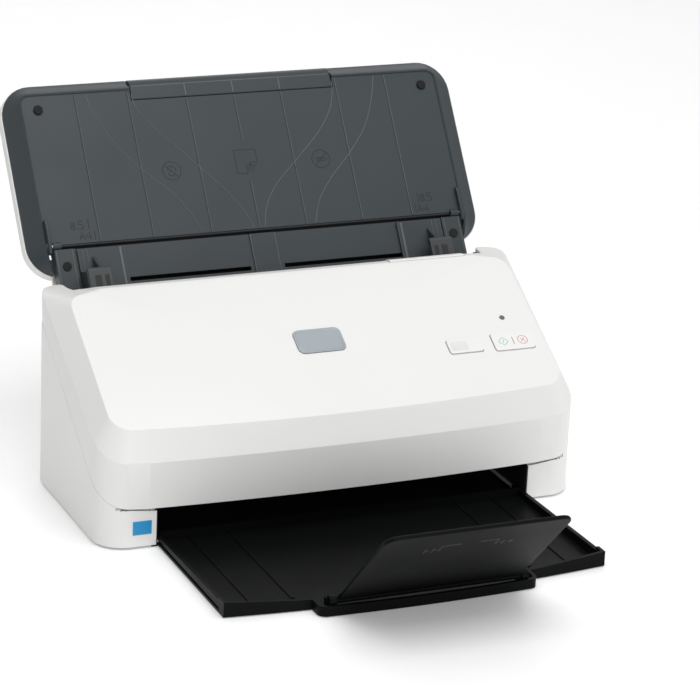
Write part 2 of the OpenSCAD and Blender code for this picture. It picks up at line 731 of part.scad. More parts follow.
module rounded_outline_at(half, depth) rounded_outline(half, 0, depth, 1.6);

// Cap with a stem that ends just above its switch.
module button(x, half, h) on_face() translate([x, button_u, 0]) {
    translate([0, 0, -1.8]) linear_extrude(2.5) translate([0, -h]) rounded_outline_at(half, 2 * h);
    // Lip that keeps the cap in.
    translate([0, 0, -5.2]) linear_extrude(1.4) translate([0, -h - 1]) rounded_outline_at(half + 1,
        2 * h + 2);
    translate([0, 0, -4]) linear_extrude(3) translate([0, -h + 1]) rounded_outline_at(half - 1,
        2 * h - 2);
    translate([0, 0, -7]) cylinder(h = 3, r = 1.5);
}

module power_button() color("white") button(power_x, power_half, power_h);

module scan_button() color("white") button(scan_x, scan_half, scan_h);

module status_led() color("#5b6166") on_face() translate([led_x, led_u, 0]) {
    translate([0, 0, -4.6]) cylinder(h = 5, r = 1.5);
    translate([0, 0, -5.6]) cylinder(h = 1.2, r = 2.2);
}

module badge() color("#9aa0a4") on_face() {
    rounded_plate(15, 43.4, 61, -0.8, 0.5, 3.8);
    for (x = [-8, 8]) translate([x, 52.2, -4]) cylinder(h = 3.3, r = 1.1);
}

module button_board() color("#1f5b3a") on_face() {
    block(72, 138, 42, 80, -12, -10.4);
    for (x = [power_x, scan_x]) {
        block(x - 3, x + 3, button_u - 3, button_u + 3, -10.5, -9);
        translate([x, button_u, -9.1]) cylinder(h = 1, r = 1.7);
    }
    translate([led_x, led_u, -10.5]) cylinder(h = 4, r = 1.6);
    // Posts up to the cover.
    for (x = [74, 104, 136], u = [45, 78]) translate([x, u, -10.5]) cylinder(h = 8.2, r = 1.3);
}

module door_release() color("whitesmoke") placed() {
    bar(release_x0, release_x1, [[99.2, 119.6], [99.2, 122.9], [100.6, 123.5], [104.6, 122.7], [107.4,
        121.4],
        [107.4, 119.6]]);
    for (x = [release_x0 + 6, release_x1 - 8]) block(x, x + 2, 100.5, 103, 115, 119.8);
}

module door_inner_frame() color("#25282a") difference() {
    union() {
        on_path() {
            block(-frame_x + 2, frame_x - 2, 3, 104, path_gap / 2, path_gap / 2 + 2);
            // Stiffening walls across and along.
            for (t = [34, 80]) block(-guide_half, guide_half, t, t + 1.6, path_gap / 2 + 1.9, 13);
            both_sides() block(frame_x - 4, frame_x - 2, 12, 100, path_gap / 2 + 1.9, 13);
        }
        placed() {
            // Wall in front of the feed slot.
            bar(-frame_x + 2, frame_x - 2, [[103.8, 110], [101.8, 110], [99.6, 83], [102.4, 83.4]]);
            // Arms to the hinge.
            both_sides() {
                bar(mouth_half - 4, mouth_half - 0.3, [[pivot_y - 0.5, pivot_z + 2], [pivot_y,
                    pivot_z - 2],
                    [pivot_y + 2, pivot_z - 1.6], [17, 34.2], [15, 36.4]]);
                rod(mouth_half - 4, mouth_half - 0.3, pivot_y, pivot_z, 2);
            }
        }
    }
    placed() both_sides() rod(mouth_half - 5, mouth_half, pivot_y, pivot_z, hinge_pin_r);
    on_path() {
        block(-guide_half + 2, guide_half - 2, t_sensor - 9, t_sensor + 9, -1, 6);
        for (x = tyre_xs, t = [t_exit, t_feed])
            block(x - tyre_w / 2 - 1, x + tyre_w / 2 + 1, t - 6.5, t + 6.5, -1, 6);
        block(-24, 24, t_pick - 10, t_pick + 8, -1, 14);
        block(46, 54, 72, 96, -1, 14);
        rod(-frame_x, frame_x, latch_t, latch_n, 1.8);
    }
}

// Steel pins of the cover hinge.
module door_hinge_pins() color("#b9bdbf") placed() both_sides()
    rod(mouth_half - 4, lug_out + 0.3, pivot_y, pivot_z, hinge_pin_r);

module front_glass() color([0.75, 0.85, 0.85, 0.5]) on_path()
    block(-guide_half + 2.2, guide_half - 2.2, t_sensor - 8.8, t_sensor + 8.8, path_gap / 2 + 0.1,
        path_gap / 2 + 1.9);

module front_image_sensor() color("#1d1d1f") on_path() difference() {
    block(-guide_half + 3, guide_half - 3, t_sensor - 8, t_sensor + 8, path_gap / 2 + 2, 15);
    block(-guide_half + 8, guide_half - 8, t_sensor - 1, t_sensor + 3, path_gap / 2 + 1.9, 12);
}

module separation_roller() color("#6d7276") on_path() {
    difference() {
        rod(-17, 17, t_pick, sep_n, sep_r);
        rod(-18, 18, t_pick, sep_n, 2);
    }
    rod(-22.5, 22.5, t_pick, sep_n, 2);
}

module separation_holder() color("#2b2e30") on_path() difference() {
    union() {
        both_sides() block(18, 20.5, t_pick - 9, t_pick + 5, 3.2, 19);
        block(-20.5, 20.5, t_pick - 9, t_pick + 5, 17.8, 19.8);
    }
    rod(-25, 25, t_pick, sep_n, 2 + run_fit);
}

// Leaf spring that presses the holder towards the pick tyre.
module separation_spring() color("#c9ccce") on_path() {
    block(-7, 7, t_pick - 8, t_pick + 4, 19.8, 20.3);
    bar(-7, 7, [[t_pick - 8, 19.9], [t_pick - 8, 20.4], [t_pick - 3, 24], [t_pick - 2.6, 23.7]]);
}

// Hooks that hold the cover shut, joined by a shaft.
module door_latches() color("#c9ccce") on_path() {
    rod(-124.4, 124.4, latch_t, latch_n, 1.8);
    both_sides() bar(122.8, 124.4, [[99.5, 11], [106, 11], [106, -6], [101.6, -7], [101.6, -4.6],
        [103.4, -3.6],
        [103.4, 4], [99.5, 5]]);
}

module pinch_rollers(t) on_path() {
    rod(-92, 92, t, pinch_n, 1.5);
    for (x = tyre_xs) difference() {
        rod(x - tyre_w / 2 + 1, x + tyre_w / 2 - 1, t, pinch_n, pinch_r);
        rod(x - tyre_w, x + tyre_w, t, pinch_n, 1.49);
    }
}

module feed_pinch_rollers() color("#555b5f") pinch_rollers(t_feed);

module exit_pinch_rollers() color("#555b5f") pinch_rollers(t_exit);

// Clips on the inner frame that carry the pinch axles.
module pinch_clips() color("#2b2e30") on_path() for (t = [t_exit, t_feed], x = [-91, -56, 54,
    89]) difference() {
    block(x, x + 2, t - 3.4, t + 3.4, path_gap / 2 + 2, 9.4);
    rod(x - 1, x + 3, t, pinch_n, 1.5 + run_fit);
}

// ---------------------------------------------------------------- rollers and drive

module tyre(x, t, width) difference() {
    rod(x - width / 2, x + width / 2, t, shaft_n, tyre_r);
    rod(x - width, x + width, t, shaft_n, shaft_r);
}

module pick_shaft() color("#c3c7c9") geared_shaft(t_pick, turn_pick);

module pick_tyre() color("#3b4043") on_path() tyre(0, t_pick, 34);

module feed_shaft() color("#c3c7c9") geared_shaft(t_feed, turn_feed);

module feed_tyres() color("#3b4043") on_path() for (x = tyre_xs) tyre(x, t_feed, tyre_w);

module exit_shaft() color("#c3c7c9") geared_shaft(t_exit, turn_exit);

module exit_tyres() color("#3b4043") on_path() for (x = tyre_xs) tyre(x, t_exit, tyre_w);

module idler_gear() color("#e4e0d4") on_path() difference() {
    translate([gear_x, t_idler, shaft_n]) rotate([90, 0, 90]) linear_extrude(gear_w)
        rotate(turn_idler) gear_2d(idler_n);
    rod(gear_x - 1, gear_x + gear_w + 1, t_idler, shaft_n, shaft_r + run_fit);
}

module motor_gear() color("#d8d4c0") on_path() {
    translate([gear_x, t_motor, motor_n]) rotate([90, 0, 90]) linear_extrude(gear_w) gear_2d(gear_n);
    rod(100, gear_x + 1, t_motor, motor_n, 2.5);
}

// Lever that the paper pushes down.
module paper_flag() color("#d9a441") on_path() {
    rod(47, 53, flag_t, flag_n, 1.6);
    bar(48.8, 51.2, [[flag_t - 1.4, flag_n], [flag_t + 1.2, flag_n + 1], [flag_t - 1, 3.4],
        [flag_t - 3.4, 3.4]]);
    rod(44.6, 55.4, flag_t, flag_n, 0.9);
}

// ---------------------------------------------------------------- output tray

// Plan of the tray, drawn in by a margin: corners, bowed front edge and the section standing out of it.
module output_outline(inset) {
    intersection() {
        translate([0, out_arc + out_tip]) circle(out_arc - inset, $fn = 720);
        translate([-out_half + inset, out_tip - 1]) square([2 * (out_half - inset),
            out_back - out_tip + 1]);
    }
    intersection() {
        translate([0, out_arc + out_tip - lip_step]) circle(out_arc - inset, $fn = 720);
        union() {
            translate([-lip_half + lip_r, out_tip - lip_step - 1])
                square([2 * (lip_half - lip_r), lip_step + 20]);
            translate([-lip_half + inset, lip_end_y]) square([2 * (lip_half - inset), lip_step + 8]);
        }
    }
    for (x = [-lip_half + lip_r, lip_half - lip_r]) translate([x, lip_end_y]) circle(lip_r - inset);
}
lip_end_y = out_arc + out_tip - lip_step - sqrt(pow(out_arc, 2) - pow(lip_half - lip_r, 2)) + lip_r;

// Slab between two heights whose upper face falls from the corners to the middle section.
module wall_top_room() translate([0, 5, 0]) rotate([90, 0, 0]) linear_extrude(200)
    polygon([[-out_half - 1, corner_h], [-lip_half - 9, lip_h + 0.4], [-lip_half + 4, lip_h],
        [lip_half - 4, lip_h],
        [lip_half + 9, lip_h + 0.4], [out_half + 1, corner_h], [out_half + 1, 20], [-out_half - 1, 20]]);

module output_tray() color("#202122") placed() difference() {
    union() {
        translate([0, 0, out_z]) linear_extrude(out_t) output_outline(0);
        // Front wall.
        difference() {
            translate([0, 0, out_z]) linear_extrude(corner_h) output_outline(0);
            translate([0, 0, out_z + 1]) linear_extrude(corner_h + 1) output_outline(out_wall);
            wall_top_room();
            block(-out_half - 1, out_half + 1, -out_reach + 8, out_back + 1, 0, 20);
        }
        // Side walls, with a groove that the base's tongues run in.
        both_sides() difference() {
            bar(out_half - out_wall - 0.6, out_half, [[-out_reach + 0.2, out_z], [-out_reach + 0.2,
                corner_h - 1.4],
                [out_back, side_h], [out_back, out_z]]);
            block(out_half - groove_depth, out_half + 1, -out_reach + 7, out_back + 1, groove_z0,
                groove_z1);
        }
        // Low wall behind the sheet.
        block(-out_half + 2, out_half - 2, 3.2, 5.2, out_z + 1, side_h + 1.4);
        // Bosses for the paper stop.
        both_sides() {
            block(stop_half + 0.4, stop_half + 4.4, stop_y - 2, stop_y + 6, out_z + 1, stop_z);
            rod(stop_half + 0.4, stop_half + 4.4, stop_y, stop_z, 2.8);
        }
        // Low ribs under the sheet.
        for (x = [-96:24:96]) if (abs(x) > stop_half + 8)
            block(x - 1, x + 1, -out_reach + 8, 4, out_z + out_t - 0.1, out_z + out_t + 0.6);
    }
    rod(-stop_half - 6, stop_half + 6, stop_y, stop_z, 1.4 + run_fit);
    // Grooves in the edges of the floor.
    both_sides() block(out_half - groove_depth, out_half + 1, -out_reach + 7, out_back + 1, groove_z0,
        groove_z1);
}

module paper_stop() color("#262829") placed() {
    translate([0, stop_y, stop_z]) rotate([180 - stop_deg, 0, 0]) {
        rounded_plate(stop_half, 3.2, stop_len, -stop_t / 2, stop_t / 2, 8);
        block(-stop_half, stop_half, 0, 14, -stop_t / 2, stop_t / 2);
    }
    rod(-stop_half, stop_half, stop_y, stop_z, stop_barrel_r);
    rod(-stop_half - 4.2, stop_half + 4.2, stop_y, stop_z, 1.4);
}

main_housing();
rear_cover();
chute_hood();
base_plate();
bay_pan();
rubber_feet();
cavity_roof();
chute_plate();
chute_plugs();
lower_paper_guide();
rear_glass();
rear_image_sensor();
side_frame_left();
side_frame_right();
shaft_bushes();
idler_stud();
motor_case();
main_board();
usb_port();
power_inlet();
base_screws();
blank_label();
tray_panel();
tray_back_shell();
tray_plugs();
tray_hinge_pins();
tray_extension();
guide_left();
guide_right();
guide_pinion();
door_cover();
door_inner_frame();
door_hinge_pins();
front_glass();
front_image_sensor();
badge();
status_led();
button_board();
separation_holder();
separation_spring();
door_latches();
pinch_clips();
separation_roller();
power_button();
scan_button();
door_release();
pick_shaft();
pick_tyre();
feed_shaft();
feed_tyres();
exit_shaft();
exit_tyres();
idler_gear();
motor_gear();
feed_pinch_rollers();
exit_pinch_rollers();
paper_flag();
output_tray();
paper_stop();
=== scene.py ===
"""Looks of a sheet fed document scanner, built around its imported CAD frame."""

import json
import math

import bmesh
import bpy
from mathutils import Matrix, Vector


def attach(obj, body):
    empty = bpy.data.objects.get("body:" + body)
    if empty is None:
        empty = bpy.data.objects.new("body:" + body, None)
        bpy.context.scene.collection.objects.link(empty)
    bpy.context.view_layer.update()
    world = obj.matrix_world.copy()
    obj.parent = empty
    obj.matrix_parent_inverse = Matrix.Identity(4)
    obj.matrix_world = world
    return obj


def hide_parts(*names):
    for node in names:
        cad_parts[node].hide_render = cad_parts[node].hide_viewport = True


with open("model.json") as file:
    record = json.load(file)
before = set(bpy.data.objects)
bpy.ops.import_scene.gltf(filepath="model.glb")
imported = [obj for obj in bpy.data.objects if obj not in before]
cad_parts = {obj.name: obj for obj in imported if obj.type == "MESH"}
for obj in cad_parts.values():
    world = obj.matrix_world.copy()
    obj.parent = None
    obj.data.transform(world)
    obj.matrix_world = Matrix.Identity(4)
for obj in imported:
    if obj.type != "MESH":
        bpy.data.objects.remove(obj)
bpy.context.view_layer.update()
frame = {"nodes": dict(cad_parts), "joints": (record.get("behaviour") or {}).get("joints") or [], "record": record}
nodes = frame["nodes"]
joints = {j["name"]: j for j in frame["joints"]}
MM = 0.001


# ---------------------------------------------------------------- places taken from the frame

def local_frame(origin, y_axis, z_axis):
    """Matrix whose local x is the row's x, with y and z as given, in metres."""
    y, z = Vector(y_axis).normalized(), Vector(z_axis).normalized()
    x = y.cross(z)
    m = Matrix.Identity(4)
    for column, v in enumerate((x, y, z)):
        for row in range(3):
            m[row][column] = v[row]
    m.translation = origin
    return m


# The design's y = 0 is the face of the front posts. The cover hinge stands 3.4 mm behind it.
HINGE_Y = 3.4 * MM
POST_Y = joints["cover_hinge"]["pos_m"][1] - HINGE_Y


def at(x, y, z):
    """A point given in mm from the post face, in the row frame in metres."""
    return Vector((x * MM, y * MM + POST_Y, z * MM))


BODY = local_frame(at(0, 0, 0), (0, 1, 0), (0, 0, 1))
# Chute and tray: y runs up the chute, z stands out of it. The tray hinge is 13.6 mm up and 1 mm in.
CHUTE_UP = Vector(joints["extension_slide"]["axis"])
CHUTE_OUT = Vector((0, -CHUTE_UP.z, CHUTE_UP.y))
TRAY_S, TRAY_W = 13.6, -1.0
CHUTE = local_frame(
    Vector(joints["input_tray_hinge"]["pos_m"]) - CHUTE_UP * TRAY_S * MM - CHUTE_OUT * TRAY_W * MM,
    CHUTE_UP, CHUTE_OUT)
# Sloping face of the cover: y runs down it, so local x is turned over.
FACE_OUT = -Vector(joints["power_press"]["axis"])
FACE_DOWN = Vector((0, -FACE_OUT.z, FACE_OUT.y))
FACE_TOP = at(0, 95, 122)
FACE = local_frame(FACE_TOP, -FACE_DOWN, FACE_OUT)
# Raised paper stop: y runs up it from its hinge.
STOP_HINGE = Vector(joints["stop_hinge"]["pos_m"])
STOP_LEAN = math.radians(45)
STOP = local_frame(STOP_HINGE, (0, -math.cos(STOP_LEAN), math.sin(STOP_LEAN)),
                   (0, -math.sin(STOP_LEAN), -math.cos(STOP_LEAN)))


# ---------------------------------------------------------------- materials

def material(name, colour, rough, metal=0.0, grain=0.0, grain_size=0.6, mottle=0.04, coat=0.0,
             coat_rough=0.1, wave=0.0, smudge=0.08, specular=0.5, stretch=(1, 1, 1)):
    """A moulded or machined surface: fine grain, slow waviness, uneven gloss and faint colour drift.

    grain and wave are bump heights in mm, grain_size is in mm.
    """
    mat = bpy.data.materials.new(name)
    mat.use_nodes = True
    tree = mat.node_tree
    shader = tree.nodes["Principled BSDF"]
    shader.inputs["Metallic"].default_value = metal
    shader.inputs["Specular IOR Level"].default_value = specular
    shader.inputs["Coat Weight"].default_value = coat
    shader.inputs["Coat Roughness"].default_value = coat_rough
    place = tree.nodes.new("ShaderNodeTexCoord")
    mapping = tree.nodes.new("ShaderNodeMapping")
    mapping.inputs["Scale"].default_value = stretch
    tree.links.new(place.outputs["Object"], mapping.inputs["Vector"])

    def noise(size_mm, detail):
        node = tree.nodes.new("ShaderNodeTexNoise")
        node.inputs["Scale"].default_value = 1000.0 / size_mm
        node.inputs["Detail"].default_value = detail
        tree.links.new(mapping.outputs["Vector"], node.inputs["Vector"])
        return node

    def spread(source, low, high):
        node = tree.nodes.new("ShaderNodeMapRange")
        node.inputs["From Min"].default_value = 0.3
        node.inputs["From Max"].default_value = 0.7
        node.inputs["To Min"].default_value = low
        node.inputs["To Max"].default_value = high
        tree.links.new(source.outputs["Fac"], node.inputs["Value"])
        return node

    # Gloss that is a little uneven, as handled plastic is.
    film = noise(34.0, 5.0)
    gloss = spread(film, rough * (1 - smudge), rough * (1 + smudge))
    tree.links.new(gloss.outputs["Result"], shader.inputs["Roughness"])
    # Colour drift.
    drift = noise(60.0, 3.0)
    ramp = tree.nodes.new("ShaderNodeValToRGB")
    ramp.color_ramp.elements[0].position = 0.3
    ramp.color_ramp.elements[1].position = 0.7
    ramp.color_ramp.elements[0].color = [c * (1 - mottle) for c in colour] + [1]
    ramp.color_ramp.elements[1].color = [min(1, c * (1 + mottle)) for c in colour] + [1]
    tree.links.new(drift.outputs["Fac"], ramp.inputs["Fac"])
    tree.links.new(ramp.outputs["Color"], shader.inputs["Base Color"])
    # Relief.
    last = None
    for height, size, detail in ((wave, 18.0, 2.0), (grain, grain_size, 3.0)):
        if height <= 0:
            continue
        bump = tree.nodes.new("ShaderNodeBump")
        bump.inputs["Strength"].default_value = 1.0
        bump.inputs["Distance"].default_value = height * MM
        tree.links.new(noise(size, detail).outputs["Fac"], bump.inputs["Height"])
        if last:
            tree.links.new(last.outputs["Normal"], bump.inputs["Normal"])
        last = bump
    if last:
        tree.links.new(last.outputs["Normal"], shader.inputs["Normal"])
    return mat


M = {
    "casing_white": material("casing_white", (0.80, 0.80, 0.785), 0.36, grain=0.006, grain_size=0.9,
                             wave=0.01, coat=0.12, coat_rough=0.3, mottle=0.008),
    "shell_white": material("shell_white", (0.78, 0.78, 0.76), 0.42, grain=0.008, grain_size=0.8,
                            mottle=0.01),
    "tray_grey": material("tray_grey", (0.038, 0.047, 0.051), 0.38, grain=0.02, grain_size=0.55, mottle=0.05,
                          specular=0.3),
    "guide_grey": material("guide_grey", (0.035, 0.04, 0.043), 0.45, grain=0.02, grain_size=0.55),
    "black_plastic": material("black_plastic", (0.012, 0.012, 0.013), 0.5, grain=0.02),
    "output_black": material("output_black", (0.004, 0.0044, 0.0044), 0.42, grain=0.016, grain_size=0.5,
                             mottle=0.08, specular=0.06),
    "rubber_black": material("rubber_black", (0.008, 0.008, 0.008), 0.75, grain=0.03, specular=0.3),
    "roller_rubber": material("roller_rubber", (0.045, 0.05, 0.055), 0.8, grain=0.05, grain_size=0.35),
    "steel_sheet": material("steel_sheet", (0.55, 0.56, 0.57), 0.38, metal=1.0, grain=0.01, grain_size=1.6,
                            mottle=0.12, smudge=0.25),
    "steel_bright": material("steel_bright", (0.62, 0.62, 0.63), 0.22, metal=1.0, grain=0.008, grain_size=0.4,
                             stretch=(0.08, 1, 1)),
    "spring_steel": material("spring_steel", (0.5, 0.51, 0.53), 0.25, metal=1.0, grain=0.006, grain_size=0.5,
                             stretch=(1, 0.1, 1)),
    "gear_plastic": material("gear_plastic", (0.70, 0.67, 0.58), 0.5, grain=0.01),
    "bush_plastic": material("bush_plastic", (0.62, 0.58, 0.48), 0.5, grain=0.01),
    "sensor_black": material("sensor_black", (0.01, 0.01, 0.011), 0.6, grain=0.015),
    "board_green": material("board_green", (0.02, 0.11, 0.05), 0.35, grain=0.05, grain_size=2.4, mottle=0.35),
    "button_white": material("button_white", (0.82, 0.82, 0.81), 0.3, grain=0.004, coat=0.2, mottle=0.01),
    "badge_silver": material("badge_silver", (0.40, 0.44, 0.47), 0.34, metal=0.85, grain=0.012,
                             grain_size=0.5, stretch=(0.05, 1, 1), mottle=0.06),
    "lamp_grey": material("lamp_grey", (0.10, 0.12, 0.13), 0.25, grain=0.004, coat=0.5),
    "label_blue": material("label_blue", (0.015, 0.27, 0.55), 0.35, grain=0.004),
    "flag_amber": material("flag_amber", (0.5, 0.27, 0.05), 0.45, grain=0.01),
    "motor_metal": material("motor_metal", (0.42, 0.43, 0.44), 0.35, metal=1.0, grain=0.01, mottle=0.1),
    "mark_grey": material("mark_grey", (0.21, 0.22, 0.23), 0.5, grain=0.004),
    "mark_teal": material("mark_teal", (0.05, 0.42, 0.40), 0.45, grain=0.004),
    "mark_red": material("mark_red", (0.55, 0.10, 0.08), 0.45, grain=0.004),
    "patch_silver": material("patch_silver", (0.79, 0.80, 0.79), 0.3, grain=0.004, mottle=0.1),
    # tray_line is the tray grey made lighter: painted highlight on ribs and raised lines. tray_dark also serves as
    # the painted shadow beside the ribs.
    "tray_line": material("tray_line", (0.092, 0.104, 0.112), 0.36, grain=0.006, grain_size=0.5, mottle=0.06),
    "tray_dark": material("tray_dark", (0.008, 0.010, 0.011), 0.5, grain=0.006, grain_size=0.5),
    "mark_white": material("mark_white", (0.8, 0.8, 0.8), 0.45, grain=0.004),
}

glass = bpy.data.materials.new("glass_clear")
glass.use_nodes = True
glass_shader = glass.node_tree.nodes["Principled BSDF"]
glass_shader.inputs["Base Color"].default_value = (0.85, 0.93, 0.92, 1)
glass_shader.inputs["Transmission Weight"].default_value = 0.9
glass_shader.inputs["IOR"].default_value = 1.5
glass_noise = glass.node_tree.nodes.new("ShaderNodeTexNoise")
glass_noise.inputs["Scale"].default_value = 60.0
glass_range = glass.node_tree.nodes.new("ShaderNodeMapRange")
glass_range.inputs["To Min"].default_value = 0.02
glass_range.inputs["To Max"].default_value = 0.07
glass.node_tree.links.new(glass_noise.outputs["Fac"], glass_range.inputs["Value"])
glass.node_tree.links.new(glass_range.outputs["Result"], glass_shader.inputs["Roughness"])
M["glass_clear"] = glass

slot_of = {s["node"]: s["material_slot"] for s in frame["record"]["subparts"]}


def wear(obj, mat):
    obj.data.materials.clear()
    obj.data.materials.append(mat)


def soften(obj, width_mm, segments=2, angle_deg=28):
    """Rounds the edges of a mesh and smooths its shading."""
    mod = obj.modifiers.new("soft_edges", "BEVEL")
    mod.width = width_mm * MM
    mod.segments = segments
    mod.limit_method = "ANGLE"
    mod.angle_limit = math.radians(angle_deg)
    mod.harden_normals = False
    mod.use_clamp_overlap = True
    normals = obj.modifiers.new("even_normals", "WEIGHTED_NORMAL")
    normals.keep_sharp = True


for name, obj in nodes.items():
    wear(obj, M[slot_of[name]])
    for poly in obj.data.polygons:
        poly.use_smooth = True
    obj.data.set_sharp_from_angle(angle=math.radians(30))

# ---------------------------------------------------------------- mesh tools

def piece(name, verts, faces, place, mat, body, stands_for=(), smooth_deg=30):
    """A mesh from points in mm in a local frame, riding on a CAD body."""
    mesh = bpy.data.meshes.new(name)
    mesh.from_pydata([place @ (Vector(v) * MM) for v in verts], [], faces)
    bm = bmesh.new()
    bm.from_mesh(mesh)
    bmesh.ops.remove_doubles(bm, verts=bm.verts, dist=1e-6)
    bmesh.ops.recalc_face_normals(bm, faces=bm.faces)
    bm.to_mesh(mesh)
    bm.free()
    obj = bpy.data.objects.new(name, mesh)
    bpy.context.scene.collection.objects.link(obj)
    finish_piece(obj, mat, body, stands_for, smooth_deg)
    return obj


def finish_piece(obj, mat, body, stands_for=(), smooth_deg=30):
    wear(obj, mat)
    for poly in obj.data.polygons:
        poly.use_smooth = True
    obj.data.set_sharp_from_angle(angle=math.radians(smooth_deg))
    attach(obj, body)
    if stands_for:
        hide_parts(*stands_for)


def baked(obj, name):
    """The object's mesh with its modifiers applied, on a new object. The old one is removed."""
    depsgraph = bpy.context.evaluated_depsgraph_get()
    mesh = bpy.data.meshes.new_from_object(obj.evaluated_get(depsgraph))
    new = bpy.data.objects.new(name, mesh)
    bpy.context.scene.collection.objects.link(new)
    bpy.data.objects.remove(obj)
    return new


def raw(name, verts, faces, place):
    mesh = bpy.data.meshes.new(name)
    mesh.from_pydata([place @ (Vector(v) * MM) for v in verts], [], faces)
    bm = bmesh.new()
    bm.from_mesh(mesh)
    bmesh.ops.recalc_face_normals(bm, faces=bm.faces)
    bm.to_mesh(mesh)
    bm.free()
    obj = bpy.data.objects.new(name, mesh)
    bpy.context.scene.collection.objects.link(obj)
    return obj


def prism(outline, z0, z1):
    """Points and faces of a prism on an outline given in local x and y."""
    n = len(outline)
    verts = [(x, y, z0) for x, y in outline] + [(x, y, z1) for x, y in outline]
    faces = [tuple(range(n))[::-1], tuple(range(n, 2 * n))]
    faces += [(i, (i + 1) % n, n + (i + 1) % n, n + i) for i in range(n)]
    return verts, faces


def arc(cx, cy, r, a0, a1, n):
    """n + 1 points on an arc, angles in degrees."""
    return [(cx + r * math.cos(math.radians(a0 + (a1 - a0) * i / n)),
             cy + r * math.sin(math.radians(a0 + (a1 - a0) * i / n))) for i in range(n + 1)]


def rounded(x0, x1, y0, y1, r, n=6):
    return (arc(x1 - r, y0 + r, r, -90, 0, n) + arc(x1 - r, y1 - r, r, 0, 90, n)
            + arc(x0 + r, y1 - r, r, 90, 180, n) + arc(x0 + r, y0 + r, r, 180, 270, n))


def cut(obj, *cutters):
    """Takes closed shapes out of an object by boolean modifiers."""
    for i, cutter in enumerate(cutters):
        mod = obj.modifiers.new(f"cut_{i}", "BOOLEAN")
        mod.operation = "DIFFERENCE"
        mod.solver = "MANIFOLD"
        mod.object = cutter


def curve(points, per=8):
    """A smooth line through the points, as a Catmull-Rom spline."""
    pts = [Vector(p) for p in points]
    ends = [pts[0] * 2 - pts[1]] + pts + [pts[-1] * 2 - pts[-2]]
    out = []
    for i in range(1, len(ends) - 2):
        a, b, c, d = ends[i - 1:i + 3]
        for k in range(per):
            t = k / per
            out.append(0.5 * ((2 * b) + (c - a) * t + (2 * a - 5 * b + 4 * c - d) * t * t
                              + (3 * b - a - 3 * c + d) * t ** 3))
    out.append(pts[-1])
    return out


def bead(points, width, base, height, closed=False):
    """A low rounded bead along a line in the local plane, from base up to base + height."""
    pts = [Vector(p) for p in points]
    n = len(pts)
    profile = [(-0.5, -0.12), (-0.5, 0.0), (-0.3, 0.8), (0.0, 1.0), (0.3, 0.8), (0.5, 0.0), (0.5, -0.12)]
    verts, faces = [], []
    for i, p in enumerate(pts):
        before = pts[i - 1] if i or closed else pts[0]
        after = pts[(i + 1) % n] if i < n - 1 or closed else pts[-1]
        along = (after - before).normalized()
        side = Vector((along.y, -along.x))
        for k, h in profile:
            q = p + side * (k * width)
            verts.append((q.x, q.y, base + h * height))
    m = len(profile)
    for i in range(n if closed else n - 1):
        for k in range(m):
            a, b = i * m + k, i * m + (k + 1) % m
            c, d = ((i + 1) % n) * m + (k + 1) % m, ((i + 1) % n) * m + k
            faces.append((a, b, c, d))
    if not closed:
        faces.append(tuple(range(m))[::-1])
        faces.append(tuple((n - 1) * m + k for k in range(m)))
    return verts, faces


def joined(*parts):
    """Several (points, faces) as one."""
    verts, faces = [], []
    for v, f in parts:
        faces += [tuple(i + len(verts) for i in face) for face in f]
        verts += list(v)
    return verts, faces


def loft(rings, closed=True, cap_first=False, cap_last=False):
    """Faces between rings of equally many points."""
    n = len(rings[0])
    verts = [p for ring in rings for p in ring]
    faces = []
    for r in range(len(rings) - 1):
        for i in range(n if closed else n - 1):
            j = (i + 1) % n
            faces.append((r * n + i, r * n + j, (r + 1) * n + j, (r + 1) * n + i))
    if cap_first:
        faces.append(tuple(range(n))[::-1])
    if cap_last:
        faces.append(tuple((len(rings) - 1) * n + i for i in range(n)))
    return verts, faces


def across(outline, x0, x1, side=1):
    """Prism of an outline in y and z, drawn out along x on the given side."""
    verts, faces = prism(outline, x0, x1)
    return [(side * z, x, y) for x, y, z in verts], faces


def rectangle(x0, x1, y0, y1):
    return [(x0, y0), (x1, y0), (x1, y1), (x0, y1)]


# ---------------------------------------------------------------- cover

FACE_TAN = math.tan(math.radians(30.3))
SEAM_TAN = math.tan(math.radians(34.5))
LIP_Z = 24.3
HALF, CORNER_R = 150.0, 18.0
BOW_HALF, BOW = 132.0, 5.0
BOW_R = (BOW_HALF ** 2 + BOW ** 2) / (2 * BOW)


def face_z(y):
    return 122 - (95 - y) * FACE_TAN


def seam_z(y):
    return 36 + (y - 16.3) * SEAM_TAN


def bow_y(x):
    return BOW_R - BOW - math.sqrt(BOW_R ** 2 - x * x)


def foot_z(y):
    """Height of the foot of the side bevel."""
    return 111.2 + (y - 101.3) * FACE_TAN


